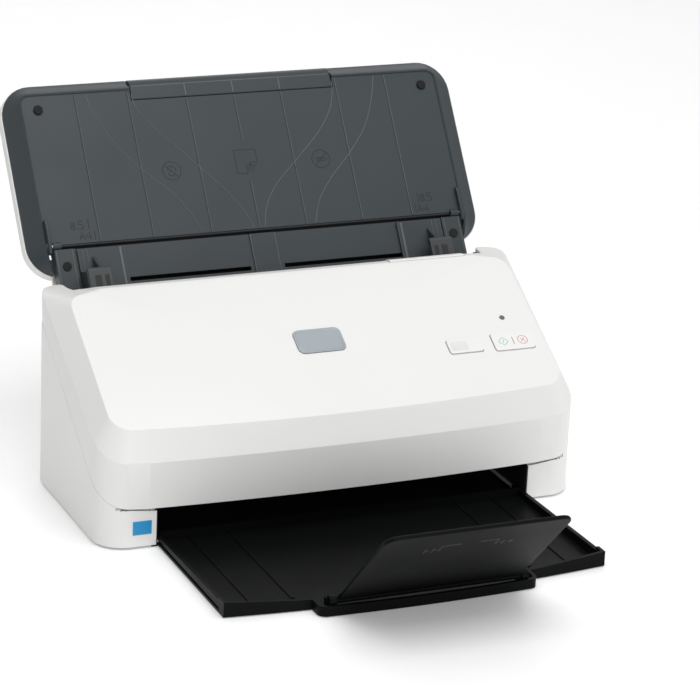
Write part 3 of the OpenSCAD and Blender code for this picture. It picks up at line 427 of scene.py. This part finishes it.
def cover_rings():
    """Left half of the rings of the cover from the middle of the front to the middle of the top.

    Each entry holds the edge of the face, two points on the bevel, its foot, and the lower edge.
    """
    rows = []

    def row(edge, foot, low, mid=None):
        edge, foot = Vector(edge), Vector(foot)
        first = mid[0] if mid else edge.lerp(foot, 0.06)
        second = mid[1] if mid else edge.lerp(foot, 0.94)
        rows.append([tuple(edge), tuple(first), tuple(second), tuple(foot), (low[0], low[1], low[2])])

    steps = 26
    for i in range(steps):
        x = -BOW_HALF * i / steps
        xe = -128.5 * i / steps
        ye = 2.6 + 3.4 * (xe / 128.5) ** 2
        row((xe, ye, face_z(ye)), (x, bow_y(x), 51.8), (x, bow_y(x), max(LIP_Z, seam_z(bow_y(x)))))
    for i in range(11):
        a = math.radians(90 * i / 10)
        x, y = -BOW_HALF - CORNER_R * math.sin(a), CORNER_R - CORNER_R * math.cos(a)
        xe, ye = -128.5 - 13 * math.sin(a), 17.5 - 11.5 * math.cos(a)
        row((xe, ye, face_z(ye)), (x, y, max(51.8, foot_z(y))), (x, y, max(LIP_Z, seam_z(y))))
    for i in range(1, 8):
        ye = 17.5 + (86 - 17.5) * i / 8
        y = 18 + (92.3 - 18) * i / 8
        row((-141.5 + 1.3 * i / 8, ye, face_z(ye)), (-HALF, y, foot_z(y)), (-HALF, y, seam_z(y)))
    ear = [(-150, 92.3, foot_z(92.3)), (-150, 99, foot_z(99)), (-150, 106, foot_z(106)), (-149.9, 111, 116.8),
           (-149.0, 115.2, 118.3), (-146.6, 119.2, 119), (-143.0, 122.0, 119), (-139.0, 123.3, 119),
           (-135.4, 123.4, 119), (-134.0, 121.6, 119), (-133.4, 116, 119), (-131.8, 109.4, 119.7),
           (-128.7, 106.5, 121)]
    angles = [0, 9, 18, 27, 36, 45, 54, 62, 68, 74, 80, 86, 90]
    for p, a in zip(ear, angles):
        a = math.radians(a)
        e = (-130.7 - 9.5 * math.cos(a), 86 + 8.6 * math.sin(a))
        low = 110.2 if p[1] > 112 or p[0] > -134 else seam_z(p[1])
        row((e[0], e[1], face_z(e[1])), p, (p[0], p[1], min(low, p[2] - 2)))
    for i in range(1, 15):
        x = -128.7 * (1 - i / 14)
        row((-130.7 * (1 - i / 14), 94.6, face_z(94.6)), (x, 106.5, 121), (x, 106.5, 110.2),
            ((x, 98.6, 122.9), (x, 104.5, 122.1)))
    return rows


left_rows = cover_rings()
all_rows = left_rows + [[(-x, y, z) for x, y, z in r] for r in left_rows[-2:0:-1]]
rings = [[r[k] for r in all_rows] for k in range(5)]
verts, faces = loft(rings, cap_first=True)
shell = raw("cover_raw", verts, faces, BODY)
crease = shell.modifiers.new("crease", "BEVEL")
crease.width = 0.9 * MM
crease.segments = 3
crease.limit_method = "ANGLE"
crease.angle_limit = math.radians(20)
thick = shell.modifiers.new("wall", "SOLIDIFY")
thick.thickness = 2.2 * MM
thick.offset = -1
thick.use_even_offset = False
shell = baked(shell, "cover_thick")
POWER, SCAN, BUTTON_U = (88.6, 10.8, 5.2), (120.2, 12.9, 6.5), 67.4
LED_X, LED_U = 120.4, 48.6
cutters = []
# Gap round each button in the cover.
WELL_GAP = 0.45
for x, half, h in (POWER, SCAN):
    well = rounded(x - half - WELL_GAP, x + half + WELL_GAP, -BUTTON_U - h - WELL_GAP,
                   -BUTTON_U + h + WELL_GAP, 2.0)
    v, f = prism(well, -6, 4)
    cutters.append(raw("cutter", v, f, FACE))
v, f = prism(arc(LED_X, -LED_U, 1.7, 0, 345, 23), -6, 4)
cutters.append(raw("cutter", v, f, FACE))
v, f = prism(rounded(-15.2, 15.2, -61.2, -43.2, 4.0), -0.85, 4)
cutters.append(raw("cutter", v, f, FACE))
v, f = prism([(65.6, 98.4), (115.9, 98.4), (115.9, 108), (65.6, 108)], 112.4, 126)
cutters.append(raw("cutter", v, f, BODY))
cut(shell, *cutters)
shell = baked(shell, "cover_shell")
for cutter in cutters:
    bpy.data.objects.remove(cutter)
finish_piece(shell, M["casing_white"], "front_cover", ("door_cover",), 24)

# Dark linings on the inner sides of the ears.
for side, name in ((-1, "ear_lining_left"), (1, "ear_lining_right")):
    v, f = prism([(109.5, 108.4), (121.8, 111), (121.8, 116.6), (117, 117.8), (110.6, 117.2)], 0, 0.9)
    v = [(side * (132.3 + z), x, y) for x, y, z in v]
    obj = piece(name, v, f, BODY, M["guide_grey"], "front_cover")
    soften(obj, 0.4)

# ---------------------------------------------------------------- buttons and badge

def stroke_set(lines, width, base, height, scale, cx, cy):
    """Beads along lines drawn on a unit square, placed and scaled."""
    parts = []
    for closed, pts in lines:
        parts.append(bead([(cx + x * scale, cy + y * scale) for x, y in pts], width, base, height, closed))
    return joined(*parts)


TOP_V = 0.72
ring_gap = [(False, arc(0, 0, 1.0, 125, 415, 28)), (False, [(0, 0.25), (0, 1.15)])]
v, f = stroke_set(ring_gap, 0.42, TOP_V, 0.05, 1.75, 94.2, -BUTTON_U)
piece("power_mark", v, f, FACE, M["mark_white"], "power_button")
v, f = prism(rounded(79.2, 90.4, -BUTTON_U - 3.4, -BUTTON_U + 3.4, 1.0), TOP_V - 0.02, TOP_V + 0.03)
piece("power_patch", v, f, FACE, M["patch_silver"], "power_button")
diamond = [(True, [(0, 1), (0.94, 0.16), (1.0, 0), (0.94, -0.16), (0, -1), (-0.94, -0.16), (-1.0, 0),
                   (-0.94, 0.16)]),
           (False, [(-0.22, -0.36), (0.2, 0.34)])]
v, f = stroke_set(diamond, 0.34, TOP_V, 0.05, 3.0, 113.9, -BUTTON_U)
piece("start_mark", v, f, FACE, M["mark_teal"], "scan_button")
v, f = bead([(120.3, -BUTTON_U - 2.9), (120.3, -BUTTON_U + 2.9)], 0.45, TOP_V, 0.05)
piece("divide_mark", v, f, FACE, M["mark_grey"], "scan_button")
cross = [(True, arc(0, 0, 1.0, 0, 350, 35)), (False, [(-0.45, -0.45), (0.45, 0.45)]),
         (False, [(-0.45, 0.45), (0.45, -0.45)])]
v, f = stroke_set(cross, 0.34, TOP_V, 0.05, 3.1, 126.6, -BUTTON_U)
piece("cancel_mark", v, f, FACE, M["mark_red"], "scan_button")
for name in ("power_button", "scan_button"):
    soften(nodes[name], 0.35, 3)
soften(nodes["badge"], 0.3, 3)
v, f = bead(rounded(-13.6, 13.6, -59.6, -44.8, 3.0), 0.5, 0.45, 0.22, True)
piece("badge_rim", v, f, FACE, M["badge_silver"], "front_cover")

# ---------------------------------------------------------------- input tray

TRAY_TOP, PANEL_TOP = 117.0, 109.0
PANEL_HALF, BORDER_HALF = 136.5, 146.6
EXT_HALF = 66.6


def tray_rows():
    """Left half of the tray's border, from the gap beside the pull-out section down to the leg's end.

    Each entry holds points from the panel's edge out to the rim: (x, s, w).
    """
    rows = []

    def row(px, ps, qx, qs, drop=0.0):
        p, q = Vector((px, ps)), Vector((qx, qs))
        d = (q - p)
        length = max(d.length, 0.01)
        u = d / length
        a, b = p + u * 0.5, p + u * 1.1
        c = p.lerp(q, 0.55)
        rows.append([(p.x, p.y, -0.25 - drop), (a.x, a.y, 0.15 - drop), (b.x, b.y, -0.35 - drop),
                     (c.x, c.y, -3.6 - drop * 0.5), (q.x, q.y, -6.1), (q.x, q.y, -7.4)])

    for i in range(7):
        x = -EXT_HALF - (PANEL_HALF - 6 - EXT_HALF) * i / 6
        row(x, PANEL_TOP, -EXT_HALF - (127.9 - EXT_HALF) * i / 6, TRAY_TOP - 0.9)
    for i in range(1, 9):
        a = math.radians(90 * i / 8)
        row(-(PANEL_HALF - 6) - 6 * math.sin(a), PANEL_TOP - 6 + 6 * math.cos(a),
            -127.9 - (BORDER_HALF - 127.9) * math.sin(a), TRAY_TOP - 0.9 - 19.1 + 19.1 * math.cos(a))
    for i in range(1, 9):
        t = i / 8
        row(-PANEL_HALF, 103 - (103 - 15.6) * t, -BORDER_HALF, 97 - (97 - 15.6) * t)
    for i in range(1, 10):
        a = math.radians(73 * i / 9)
        t = i / 9
        row(-PANEL_HALF + 2.6 * t * t, 15.6 - 17.6 * t, -127.9 - 18.7 * math.cos(a),
            15.6 - 18.9 * math.sin(a),
            3.2 * t * t)
    return rows


left = tray_rows()
for side, name in ((1, "tray_border_left"), (-1, "tray_border_right")):
    sheet = [[(side * x, y, z) for x, y, z in r] for r in left]
    verts, faces = loft([list(c) for c in zip(*sheet)], closed=False)
    obj = raw("border_raw", verts, faces, CHUTE)
    solid = obj.modifiers.new("wall", "SOLIDIFY")
    solid.thickness = 1.2 * MM
    solid.offset = 0
    obj = baked(obj, name)
    finish_piece(obj, M["tray_grey"], "input_tray", (), 35)

panel = ([(-EXT_HALF, 101.8), (-EXT_HALF, PANEL_TOP)]
         + arc(-PANEL_HALF + 6, PANEL_TOP - 6, 6, 90, 180, 6) + [(-PANEL_HALF, 14.2)]
         + [(PANEL_HALF, 14.2)] + arc(PANEL_HALF - 6, PANEL_TOP - 6, 6, 0, 90, 6)
         + [(EXT_HALF, PANEL_TOP), (EXT_HALF, 101.8)])
v, f = prism(panel, -2.5, -0.3)
tray = raw("tray_raw", v, f, CHUTE)
holes = []
for x in (-126.2, 126.2):
    hv, hf = prism(arc(x, 99.4, 3.1, 0, 350, 23), -1.2, 3)
    holes.append(raw("cutter", hv, hf, CHUTE))
cut(tray, *holes)
tray = baked(tray, "tray_plate")
for cutter in holes:
    bpy.data.objects.remove(cutter)
finish_piece(tray, M["tray_grey"], "input_tray", ("tray_panel",), 30)
soften(tray, 0.35, 2)

# Raised lines of the panel: straight ribs and four curved ones. They are drawn in tray_line, lighter than the
# panel, as a painted highlight along their tops.
P = -0.3
S_CURVES = (
    [(-95.2, 108), (-92.7, 97.1), (-86.0, 81.6), (-77.6, 68.5), (-66.5, 55.4), (-53.1, 42.3), (-43.4, 28.6),
     (-36.8, 15.1)],
    [(-66.0, 106), (-65.2, 99), (-61.2, 91.0), (-52.4, 80.0), (-40.4, 66.9), (-29.0, 53.5), (-17.2, 39.8),
     (-8.6, 26.6),
     (-4.0, 14.9)],
    [(66.0, 106), (65.2, 99), (60.9, 87.0), (50.0, 72.6), (31.9, 55.9), (16.0, 41.2), (7.0, 28.0),
     (3.3, 15.0)],
    [(95.1, 108), (89.8, 90.8), (81.3, 73.4), (67.7, 57.4), (53.0, 43.0), (42.4, 29.4), (36.6, 15.0)],
)
lines = []
for x in (-102, 102):
    lines.append([(x, 14.8), (x, 107.5)])
for x in (-67, 67):
    lines.append([(x * 1.02, 14.8), (x * 1.02, 108)])
for x in (-31, 31):
    lines.append([(x, 14.8), (x, 101.2)])
lines += [[(0, 14.8), (0, 44.3)], [(0, 70.7), (0, 101.2)]]
parts = [bead(line, 0.6, P, 0.34) for line in lines]
for line in S_CURVES:
    smooth = curve([Vector(q) for q in line])
    parts.append(bead([(p.x, p.y) for p in smooth], 0.55, P, 0.26))
v, f = joined(*parts)
piece("tray_ribs", v, f, CHUTE, M["tray_line"], "input_tray")
# Painted shadow: a dark, barely raised bead along the left of each straight rib stands for the rib's shaded side.
v, f = joined(*[bead([(x - 0.62, y) for x, y in line], 0.55, P, 0.05) for line in lines])
piece("tray_rib_shadows", v, f, CHUTE, M["tray_dark"], "input_tray")

# Moulded symbols: no staples, which way the sheets face, no clips.
marks = []


def mark(lines, width, scale, cx, cy):
    marks.append(stroke_set(lines, width, P, 0.12, scale, cx, cy))


circle = (True, arc(0, 0, 1.0, 0, 350, 35))
slash = (False, [(0.64, -0.72), (-0.7, 0.68)])
mark([circle, slash,
      (False, [(-0.42, 0.1), (-0.36, 0.46), (0.08, 0.52), (0.22, 0.34), (0.42, 0.3), (0.46, -0.1)]),
      (False, [(-0.2, 0.0), (-0.36, -0.2), (-0.3, -0.5), (0.2, -0.56), (0.3, -0.3)])], 0.5, 5.9, -49.4, 55.2)
mark([circle, (False, [(0.66, 0.68), (-0.66, -0.7)]),
      (False, [(-0.62, 0.16), (0.42, 0.16), (0.6, 0.04), (0.6, -0.1), (0.42, -0.22), (-0.4, -0.22),
               (-0.52, -0.12), (-0.4, 0.0), (0.34, 0.0)])], 0.5, 5.9, 48.6, 55.6)
mark([(False, [(-0.1, -1.0), (-0.95, -1.0), (-0.95, 1.0), (0.9, 1.0), (0.9, -0.1), (0.28, -0.1), (0.28, -0.3),
               (-0.1, -0.3), (-0.1, -1.0)]),
      (False, [(0.36, -0.3), (0.36, -0.85)]), (False, [(0.54, -0.3), (0.54, -0.66)]),
      (False, [(0.72, -0.3), (0.72, -0.48)]), (False, [(0.28, -0.1), (0.1, -0.55), (0.1, -0.9)])],
     0.5, 7.6, -0.2, 57.6)
# Width marks for the two common sheet sizes.
EIGHT = (True, [(0, 0.5), (0.3, 0.72), (0.0, 1.0), (-0.3, 0.72), (0, 0.5), (0.34, 0.22), (0, 0),
                (-0.34, 0.22)])
FIVE = (False, [(0.3, 1.0), (-0.28, 1.0), (-0.3, 0.56), (0.1, 0.6), (0.32, 0.3), (0.1, 0.0), (-0.3, 0.06)])
DOT = (False, [(-0.06, 0.03), (0.06, 0.03)])
LETTER_A = (False, [(-0.36, 0.0), (0.0, 1.0), (0.36, 0.0)])
A_BAR = (False, [(-0.22, 0.34), (0.22, 0.34)])
FOUR = (False, [(0.18, 0.0), (0.18, 1.0), (-0.34, 0.3), (0.4, 0.3)])
LETTER_HALF = 107.95
A4_HALF = 105.0
for side in (-1, 1):
    x = side * LETTER_HALF
    marks.append(bead([(x, 22.6), (x, 28.8)], 0.5, P, 0.12))
    x = side * A4_HALF
    marks.append(bead([(x, 15.6), (x, 21.6)], 0.5, P, 0.12))
    left_x = 111.0 if side > 0 else -117.6
    for glyph, dx in ((EIGHT, 0.6), (DOT, 2.9), (FIVE, 5.0)):
        mark([glyph], 0.72, 4.9, left_x - 0.9 + dx * 1.15, 23.0)
    left_x = 107.6 if side > 0 else -113.4
    for glyphs, dx in (((LETTER_A, A_BAR), 1.0), ((FOUR,), 4.6)):
        mark(list(glyphs), 0.72, 4.9, left_x - 0.7 + dx * 1.1, 16.2)
v, f = joined(*marks)
piece("tray_symbols", v, f, CHUTE, M["tray_dark"], "input_tray")

# ---------------------------------------------------------------- pull-out section

CAP_HALF = 65.9
top_rings = []
for s, w in ((102.3, -2.4), (102.3, -0.75), (102.7, -0.4), (110.6, -0.4), (112.4, -0.7), (114.6, -1.9),
             (116.2, -4.0), (116.9, -6.5), (116.9, -9.0), (115.2, -9.0), (114.4, -5.2), (112.0, -2.4)):
    top_rings.append([(x, s, w) for x in (-CAP_HALF, -CAP_HALF + 0.6, CAP_HALF - 0.6, CAP_HALF)])
columns = [list(c) for c in zip(*top_rings)]
verts, faces = loft(columns, closed=True, cap_first=True, cap_last=True)
cap = piece("extension_cap", verts, faces, CHUTE, M["tray_grey"], "extension",
            ("tray_extension",), 40)
soften(cap, 0.3, 2, 40)
tongue = []
for x0, x1, s0, s1 in ((-60, 60, 92, 110), (-60, -54, 34, 92), (54, 60, 34, 92), (-60, 60, 32, 40),
                       (-33, -27, 40, 92), (-3, 3, 40, 92), (27, 33, 40, 92)):
    tongue.append(prism(rectangle(x0, x1, s0, s1), -8.9, -7.9))
v, f = joined(*tongue)
piece("extension_tongue", v, f, CHUTE, M["tray_grey"], "extension")
# Ribs of the pull-out section, drawn in the lighter tray_line as a painted highlight along their tops.
parts = [bead([(x, 103.2), (x, 110.4)], 0.95, -0.42, 0.36) for x in (-31, 0, 31)]
parts.append(bead([(-64.6, 110.9), (64.6, 110.9)], 0.7, -0.5, 0.25))
v, f = joined(*parts)
piece("extension_ribs", v, f, CHUTE, M["tray_line"], "extension")

# ---------------------------------------------------------------- hinge of the input tray, chute and guides

EAR_IN, EAR_OUT = 133.5, 136.4
BARREL_R = 2.6
CHUTE_EDGE = 10.4
for side, name in ((-1, "left"), (1, "right")):
    # Fin at the panel's lower corner and the ear below it.
    fin = [(8.6, -2.2), (29.5, -2.2), (30.4, -0.6), (29.0, 2.4), (26.0, 3.0), (12.0, 3.0), (8.8, 1.4)]
    v, f = across(fin, EAR_IN + 0.1, EAR_IN + 2.1, side)
    obj = piece(f"tray_fin_{name}", v, f, CHUTE, M["tray_grey"], "input_tray")
    soften(obj, 0.5, 3)
    # Rounded barrel round the hinge pin.
    v, f = across(arc(TRAY_S, TRAY_W, BARREL_R, 0, 345, 23), EAR_IN, EAR_OUT, side)
    obj = piece(f"tray_barrel_{name}", v, f, CHUTE, M["tray_grey"], "input_tray")
    soften(obj, 0.3)
    # Cap over the outer end of the pin.
    v, f = across(arc(TRAY_S, TRAY_W, 2.3, 0, 345, 23), EAR_OUT - 0.05, EAR_OUT + 0.5, side)
    piece(f"tray_pin_cap_{name}", v, f, CHUTE, M["tray_grey"], "input_tray")
    # Groove lines of the side rail, drawn as light beads in tray_line: a painted highlight along them.
    v, f = joined(bead([(side * 121.4, -29), (side * 121.4, CHUTE_EDGE)], 0.5, 1.2, 0.2),
                  bead([(side * 131.4, -22), (side * 131.4, CHUTE_EDGE)], 0.5, 1.2, 0.2))
    piece(f"rail_lines_{name}", v, f, CHUTE, M["tray_line"], "base")

# Rounded bar across the gap, behind the panel's lower edge.
v, f = across(arc(TRAY_S, TRAY_W - 0.5, 0.9, 0, 330, 11), -127.0, 127.0)
piece("tray_edge_bar", v, f, CHUTE, M["tray_dark"], "input_tray")

# Painted shade: a dark sheet on the base behind the gap between the chute and the tray stands for the shade in the
# gap.
v, f = across(rectangle(TRAY_S - 4, TRAY_S, -3.9, -3.5), -127.5, 127.5)
piece("gap_shade_sheet", v, f, CHUTE, M["sensor_black"], "base")

# Ticks on the middle strip and beads along its sides, both drawn in the lighter tray_line as a painted highlight.
parts = [bead([(x, -15.6), (x, -12.6)], 0.45, 0.8, 0.15) for x in (-4.8, -1.6, 1.6, 4.8)]
parts += [bead([(x, -15.8), (x, CHUTE_EDGE)], 0.5, 0.8, 0.2) for x in (-8.0, 8.0)]
v, f = joined(*parts)
piece("strip_lines", v, f, CHUTE, M["tray_line"], "base")
# Painted shade: dark sheets behind the two slots, below the guides' racks, stand for the shade inside them.
for side, name in ((-1, "left"), (1, "right")):
    v, f = prism(rectangle(side * 8.0, side * 92.0, -17, -4), -9.4, -9.1)
    piece(f"slot_shade_sheet_{name}", v, f, CHUTE, M["sensor_black"], "base")

for side, name in ((-1, "guide_left"), (1, "guide_right")):
    # Wing with a rounded inner edge, whose bead is drawn light in tray_line as a painted highlight.
    wing = [(89.2, -38), (118.4, -38), (118.4, 9.2), (117.6, 10), (90.0, 10), (89.2, 9.2)]
    wing = [(side * x, y) for x, y in wing]
    v, f = prism(wing, 0.35, 1.75)
    obj = piece(f"{name}_wing", v, f, CHUTE, M["tray_grey"], name)
    soften(obj, 0.5, 3)
    v, f = bead([(side * 91.8, -37.6), (side * 91.8, 9.4)], 2.0, 1.3, 0.8)
    piece(f"{name}_edge", v, f, CHUTE, M["tray_line"], name)
    # Two thin light lines on the wing, drawn in tray_line as a painted highlight.
    v, f = joined(bead([(side * 112.6, -4), (side * 112.6, 9.4)], 0.4, 1.7, 0.2),
                  bead([(side * 115.4, -4), (side * 115.4, 9.4)], 0.4, 1.7, 0.2))
    piece(f"{name}_lines", v, f, CHUTE, M["tray_line"], name)
    # Cap of the upright, with a hooked front. Its two slots are not sunk in its top: thin dark patches laid on it
    # are painted shade for their insides.
    cap = [(-26, 11.2), (-8.6, 11.2), (-8.2, 9.6), (-5.6, 9.8), (-5.0, 12.2), (-6.6, 13.4), (-26, 13.4)]
    v, f = across(cap, 103.4, 118.2, side)
    obj = piece(f"{name}_cap", v, f, CHUTE, M["guide_grey"], name)
    soften(obj, 0.5, 3)
    slots = []
    for x0, x1 in ((105.6, 108.2), (110.4, 114.4)):
        slots.append(prism(rectangle(side * x0, side * x1, -25.4, -10.4), 13.3, 13.52))
    v, f = joined(*slots)
    piece(f"{name}_slots", v, f, CHUTE, M["sensor_black"], name)

# ---------------------------------------------------------------- painted shade: dark sheets in the output bay

# Dark sheets on the bay's side walls, back and sill: painted shade inside the bay.
for side, name in ((-1, "left"), (1, "right")):
    wall = [(0.6, 1.4), (108, 1.4), (108, 25.5), (30, 25.5), (3.0, 23.0), (0.6, 21.5)]
    v, f = across(wall, 116.5, 117.15, side)
    piece(f"bay_shade_sheet_{name}", v, f, BODY, M["sensor_black"], "base")
v, f = prism(rectangle(-116.4, 116.4, 108.6, 109.3), 1.6, 25.6)
piece("bay_back", v, f, BODY, M["sensor_black"], "base")
v, f = prism(rectangle(-119.4, 119.4, 1.0, 14.2), 0.1, 0.42)
piece("bay_sill", v, f, BODY, M["sensor_black"], "base")

# ---------------------------------------------------------------- output tray and paper stop

soften(nodes["output_tray"], 0.45, 3, 30)
soften(nodes["blank_label"], 0.12, 2)

STOP_HALF = 54.8
STOP_R = 7.9
stop_outline = [(-STOP_HALF, 3.0), (STOP_HALF, 3.0)]
stop_outline += arc(47.0, 76.6, STOP_R, 0, 90, 8) + arc(-47.0, 76.6, STOP_R, 90, 180, 8)
v, f = prism(stop_outline, -1.2, 1.2)
stop_plate = piece("stop_plate", v, f, STOP, M["output_black"], "paper_stop",
                   ("paper_stop",), 30)
soften(stop_plate, 1.0, 4, 30)
v, f = across(arc(0, 0, 2.2, 0, 345, 23), -55.5, 55.5)
barrel = piece("stop_barrel", v, f, STOP, M["output_black"], "paper_stop")
soften(barrel, 0.4)
v, f = across(arc(0, 0, 1.35, 0, 345, 23), -59.6, 59.6)
piece("stop_axle", v, f, STOP, M["output_black"], "paper_stop")
v, f = prism(rectangle(-STOP_HALF, STOP_HALF, -0.4, 6), -1.15, 1.15)
piece("stop_root", v, f, STOP, M["output_black"], "paper_stop")
# Two engraved marks, mirrored, that show where the stop is pulled.
for side, name in ((-1, "left"), (1, "right")):
    bracket = [(side * x, y) for x, y in ((5.6, 66), (16.6, 66), (16.6, 59.6))]
    parts = [bead(bracket, 1.9, 1.14, 0.2)]
    for dx in (0, 4.8):
        arrow = [(side * (20.6 + dx), 58.8), (side * (20.6 + dx), 64.6), (side * (18.6 + dx), 61.2)]
        parts.append(bead(arrow, 1.5, 1.14, 0.2))
    v, f = joined(*parts)
    piece(f"stop_mark_{name}", v, f, STOP, M["sensor_black"], "paper_stop")

# ---------------------------------------------------------------- soft edges on the casing

for name, width in (("main_housing", 0.5), ("rear_cover", 0.5), ("chute_hood", 0.6), ("tray_back_shell", 0.9),
                    ("chute_plate", 0.3), ("door_release", 0.5), ("chute_plugs", 0.4), ("tray_plugs", 0.4),
                    ("status_led", 0.25), ("rubber_feet", 0.4), ("door_inner_frame", 0.3),
                    ("lower_paper_guide", 0.3), ("base_plate", 0.2)):
    soften(nodes[name], width, 3 if width > 0.4 else 2, 32)

# ---------------------------------------------------------------- stage, light and camera

floor_mesh = bpy.data.meshes.new("floor")
floor_mesh.from_pydata([(-30, -30, 0), (30, -30, 0), (30, 30, 0), (-30, 30, 0)], [], [(0, 1, 2, 3)])
floor = bpy.data.objects.new("floor", floor_mesh)
bpy.context.scene.collection.objects.link(floor)
floor_white = material("floor_white", (0.9, 0.9, 0.9), 0.55, grain=0.0, mottle=0.004, specular=0.25)
floor_glow = floor_white.node_tree.nodes["Principled BSDF"]
floor_glow.inputs["Emission Color"].default_value = (1, 1, 1, 1)
floor_glow.inputs["Emission Strength"].default_value = 0.15
floor_mesh.materials.append(floor_white)

scene = bpy.context.scene
world = bpy.data.worlds.new("studio")
scene.world = world
world.use_nodes = True
sky = world.node_tree
sky_place = sky.nodes.new("ShaderNodeTexCoord")
sky_side = sky.nodes.new("ShaderNodeVectorMath")
sky_side.operation = "DOT_PRODUCT"
sky_side.inputs[1].default_value = (0.22, 0.0, 0.97)
sky_ramp = sky.nodes.new("ShaderNodeValToRGB")
sky.links.new(sky_place.outputs["Generated"], sky_side.inputs[0])
sky.links.new(sky_side.outputs["Value"], sky_ramp.inputs["Fac"])
sky_ramp.color_ramp.elements[0].position = 0.0
sky_ramp.color_ramp.elements[0].color = (0.16, 0.16, 0.16, 1)
sky_ramp.color_ramp.elements[1].position = 0.75
sky_ramp.color_ramp.elements[1].color = (1.0, 1.0, 1.0, 1)
sky.links.new(sky_ramp.outputs["Color"], sky.nodes["Background"].inputs["Color"])
sky.nodes["Background"].inputs["Strength"].default_value = 0.8
scene.view_settings.view_transform = "Standard"


def area_light(name, place, target, size, power, colour=(1, 1, 1)):
    data = bpy.data.lights.new(name, "AREA")
    data.shape = "RECTANGLE"
    data.size, data.size_y = size
    data.energy = power
    data.color = colour
    lamp = bpy.data.objects.new(name, data)
    lamp.location = place
    lamp.rotation_euler = (Vector(target) - Vector(place)).to_track_quat("-Z", "Y").to_euler()
    scene.collection.objects.link(lamp)
    return lamp


area_light("key", (-0.05, -0.5, 1.7), (0, 0, 0.08), (1.3, 1.1), 12.5)
area_light("front", (-0.05, -2.2, 0.5), (0, 0, 0.06), (1.2, 0.5), 8.5)
area_light("back", (0.3, 1.5, 0.9), (0, 0.1, 0.15), (1.4, 0.6), 3)

# The camera stands where the picture was taken from, in the design's own mm.
YAW, PITCH, ROLL = math.radians(24.15), math.radians(19.44), math.radians(2.65)
EYE = at(-671.1, -1491.3, 684.0)
LENS = 156.4
forward = Vector((math.sin(YAW) * math.cos(PITCH), math.cos(YAW) * math.cos(PITCH), -math.sin(PITCH)))
level = Vector((math.cos(YAW), -math.sin(YAW), 0))
upright = level.cross(forward)
right = math.cos(ROLL) * level + math.sin(ROLL) * upright
top = -math.sin(ROLL) * level + math.cos(ROLL) * upright
camera_data = bpy.data.cameras.new("camera")
camera_data.lens = LENS
camera_data.sensor_width = 36
camera_data.clip_end = 60
camera = bpy.data.objects.new("camera", camera_data)
camera_matrix = Matrix.Identity(4)
for column, v in enumerate((right, top, -forward)):
    for row in range(3):
        camera_matrix[row][column] = v[row]
camera_matrix.translation = EYE
camera.matrix_world = camera_matrix
scene.collection.objects.link(camera)
scene.camera = camera
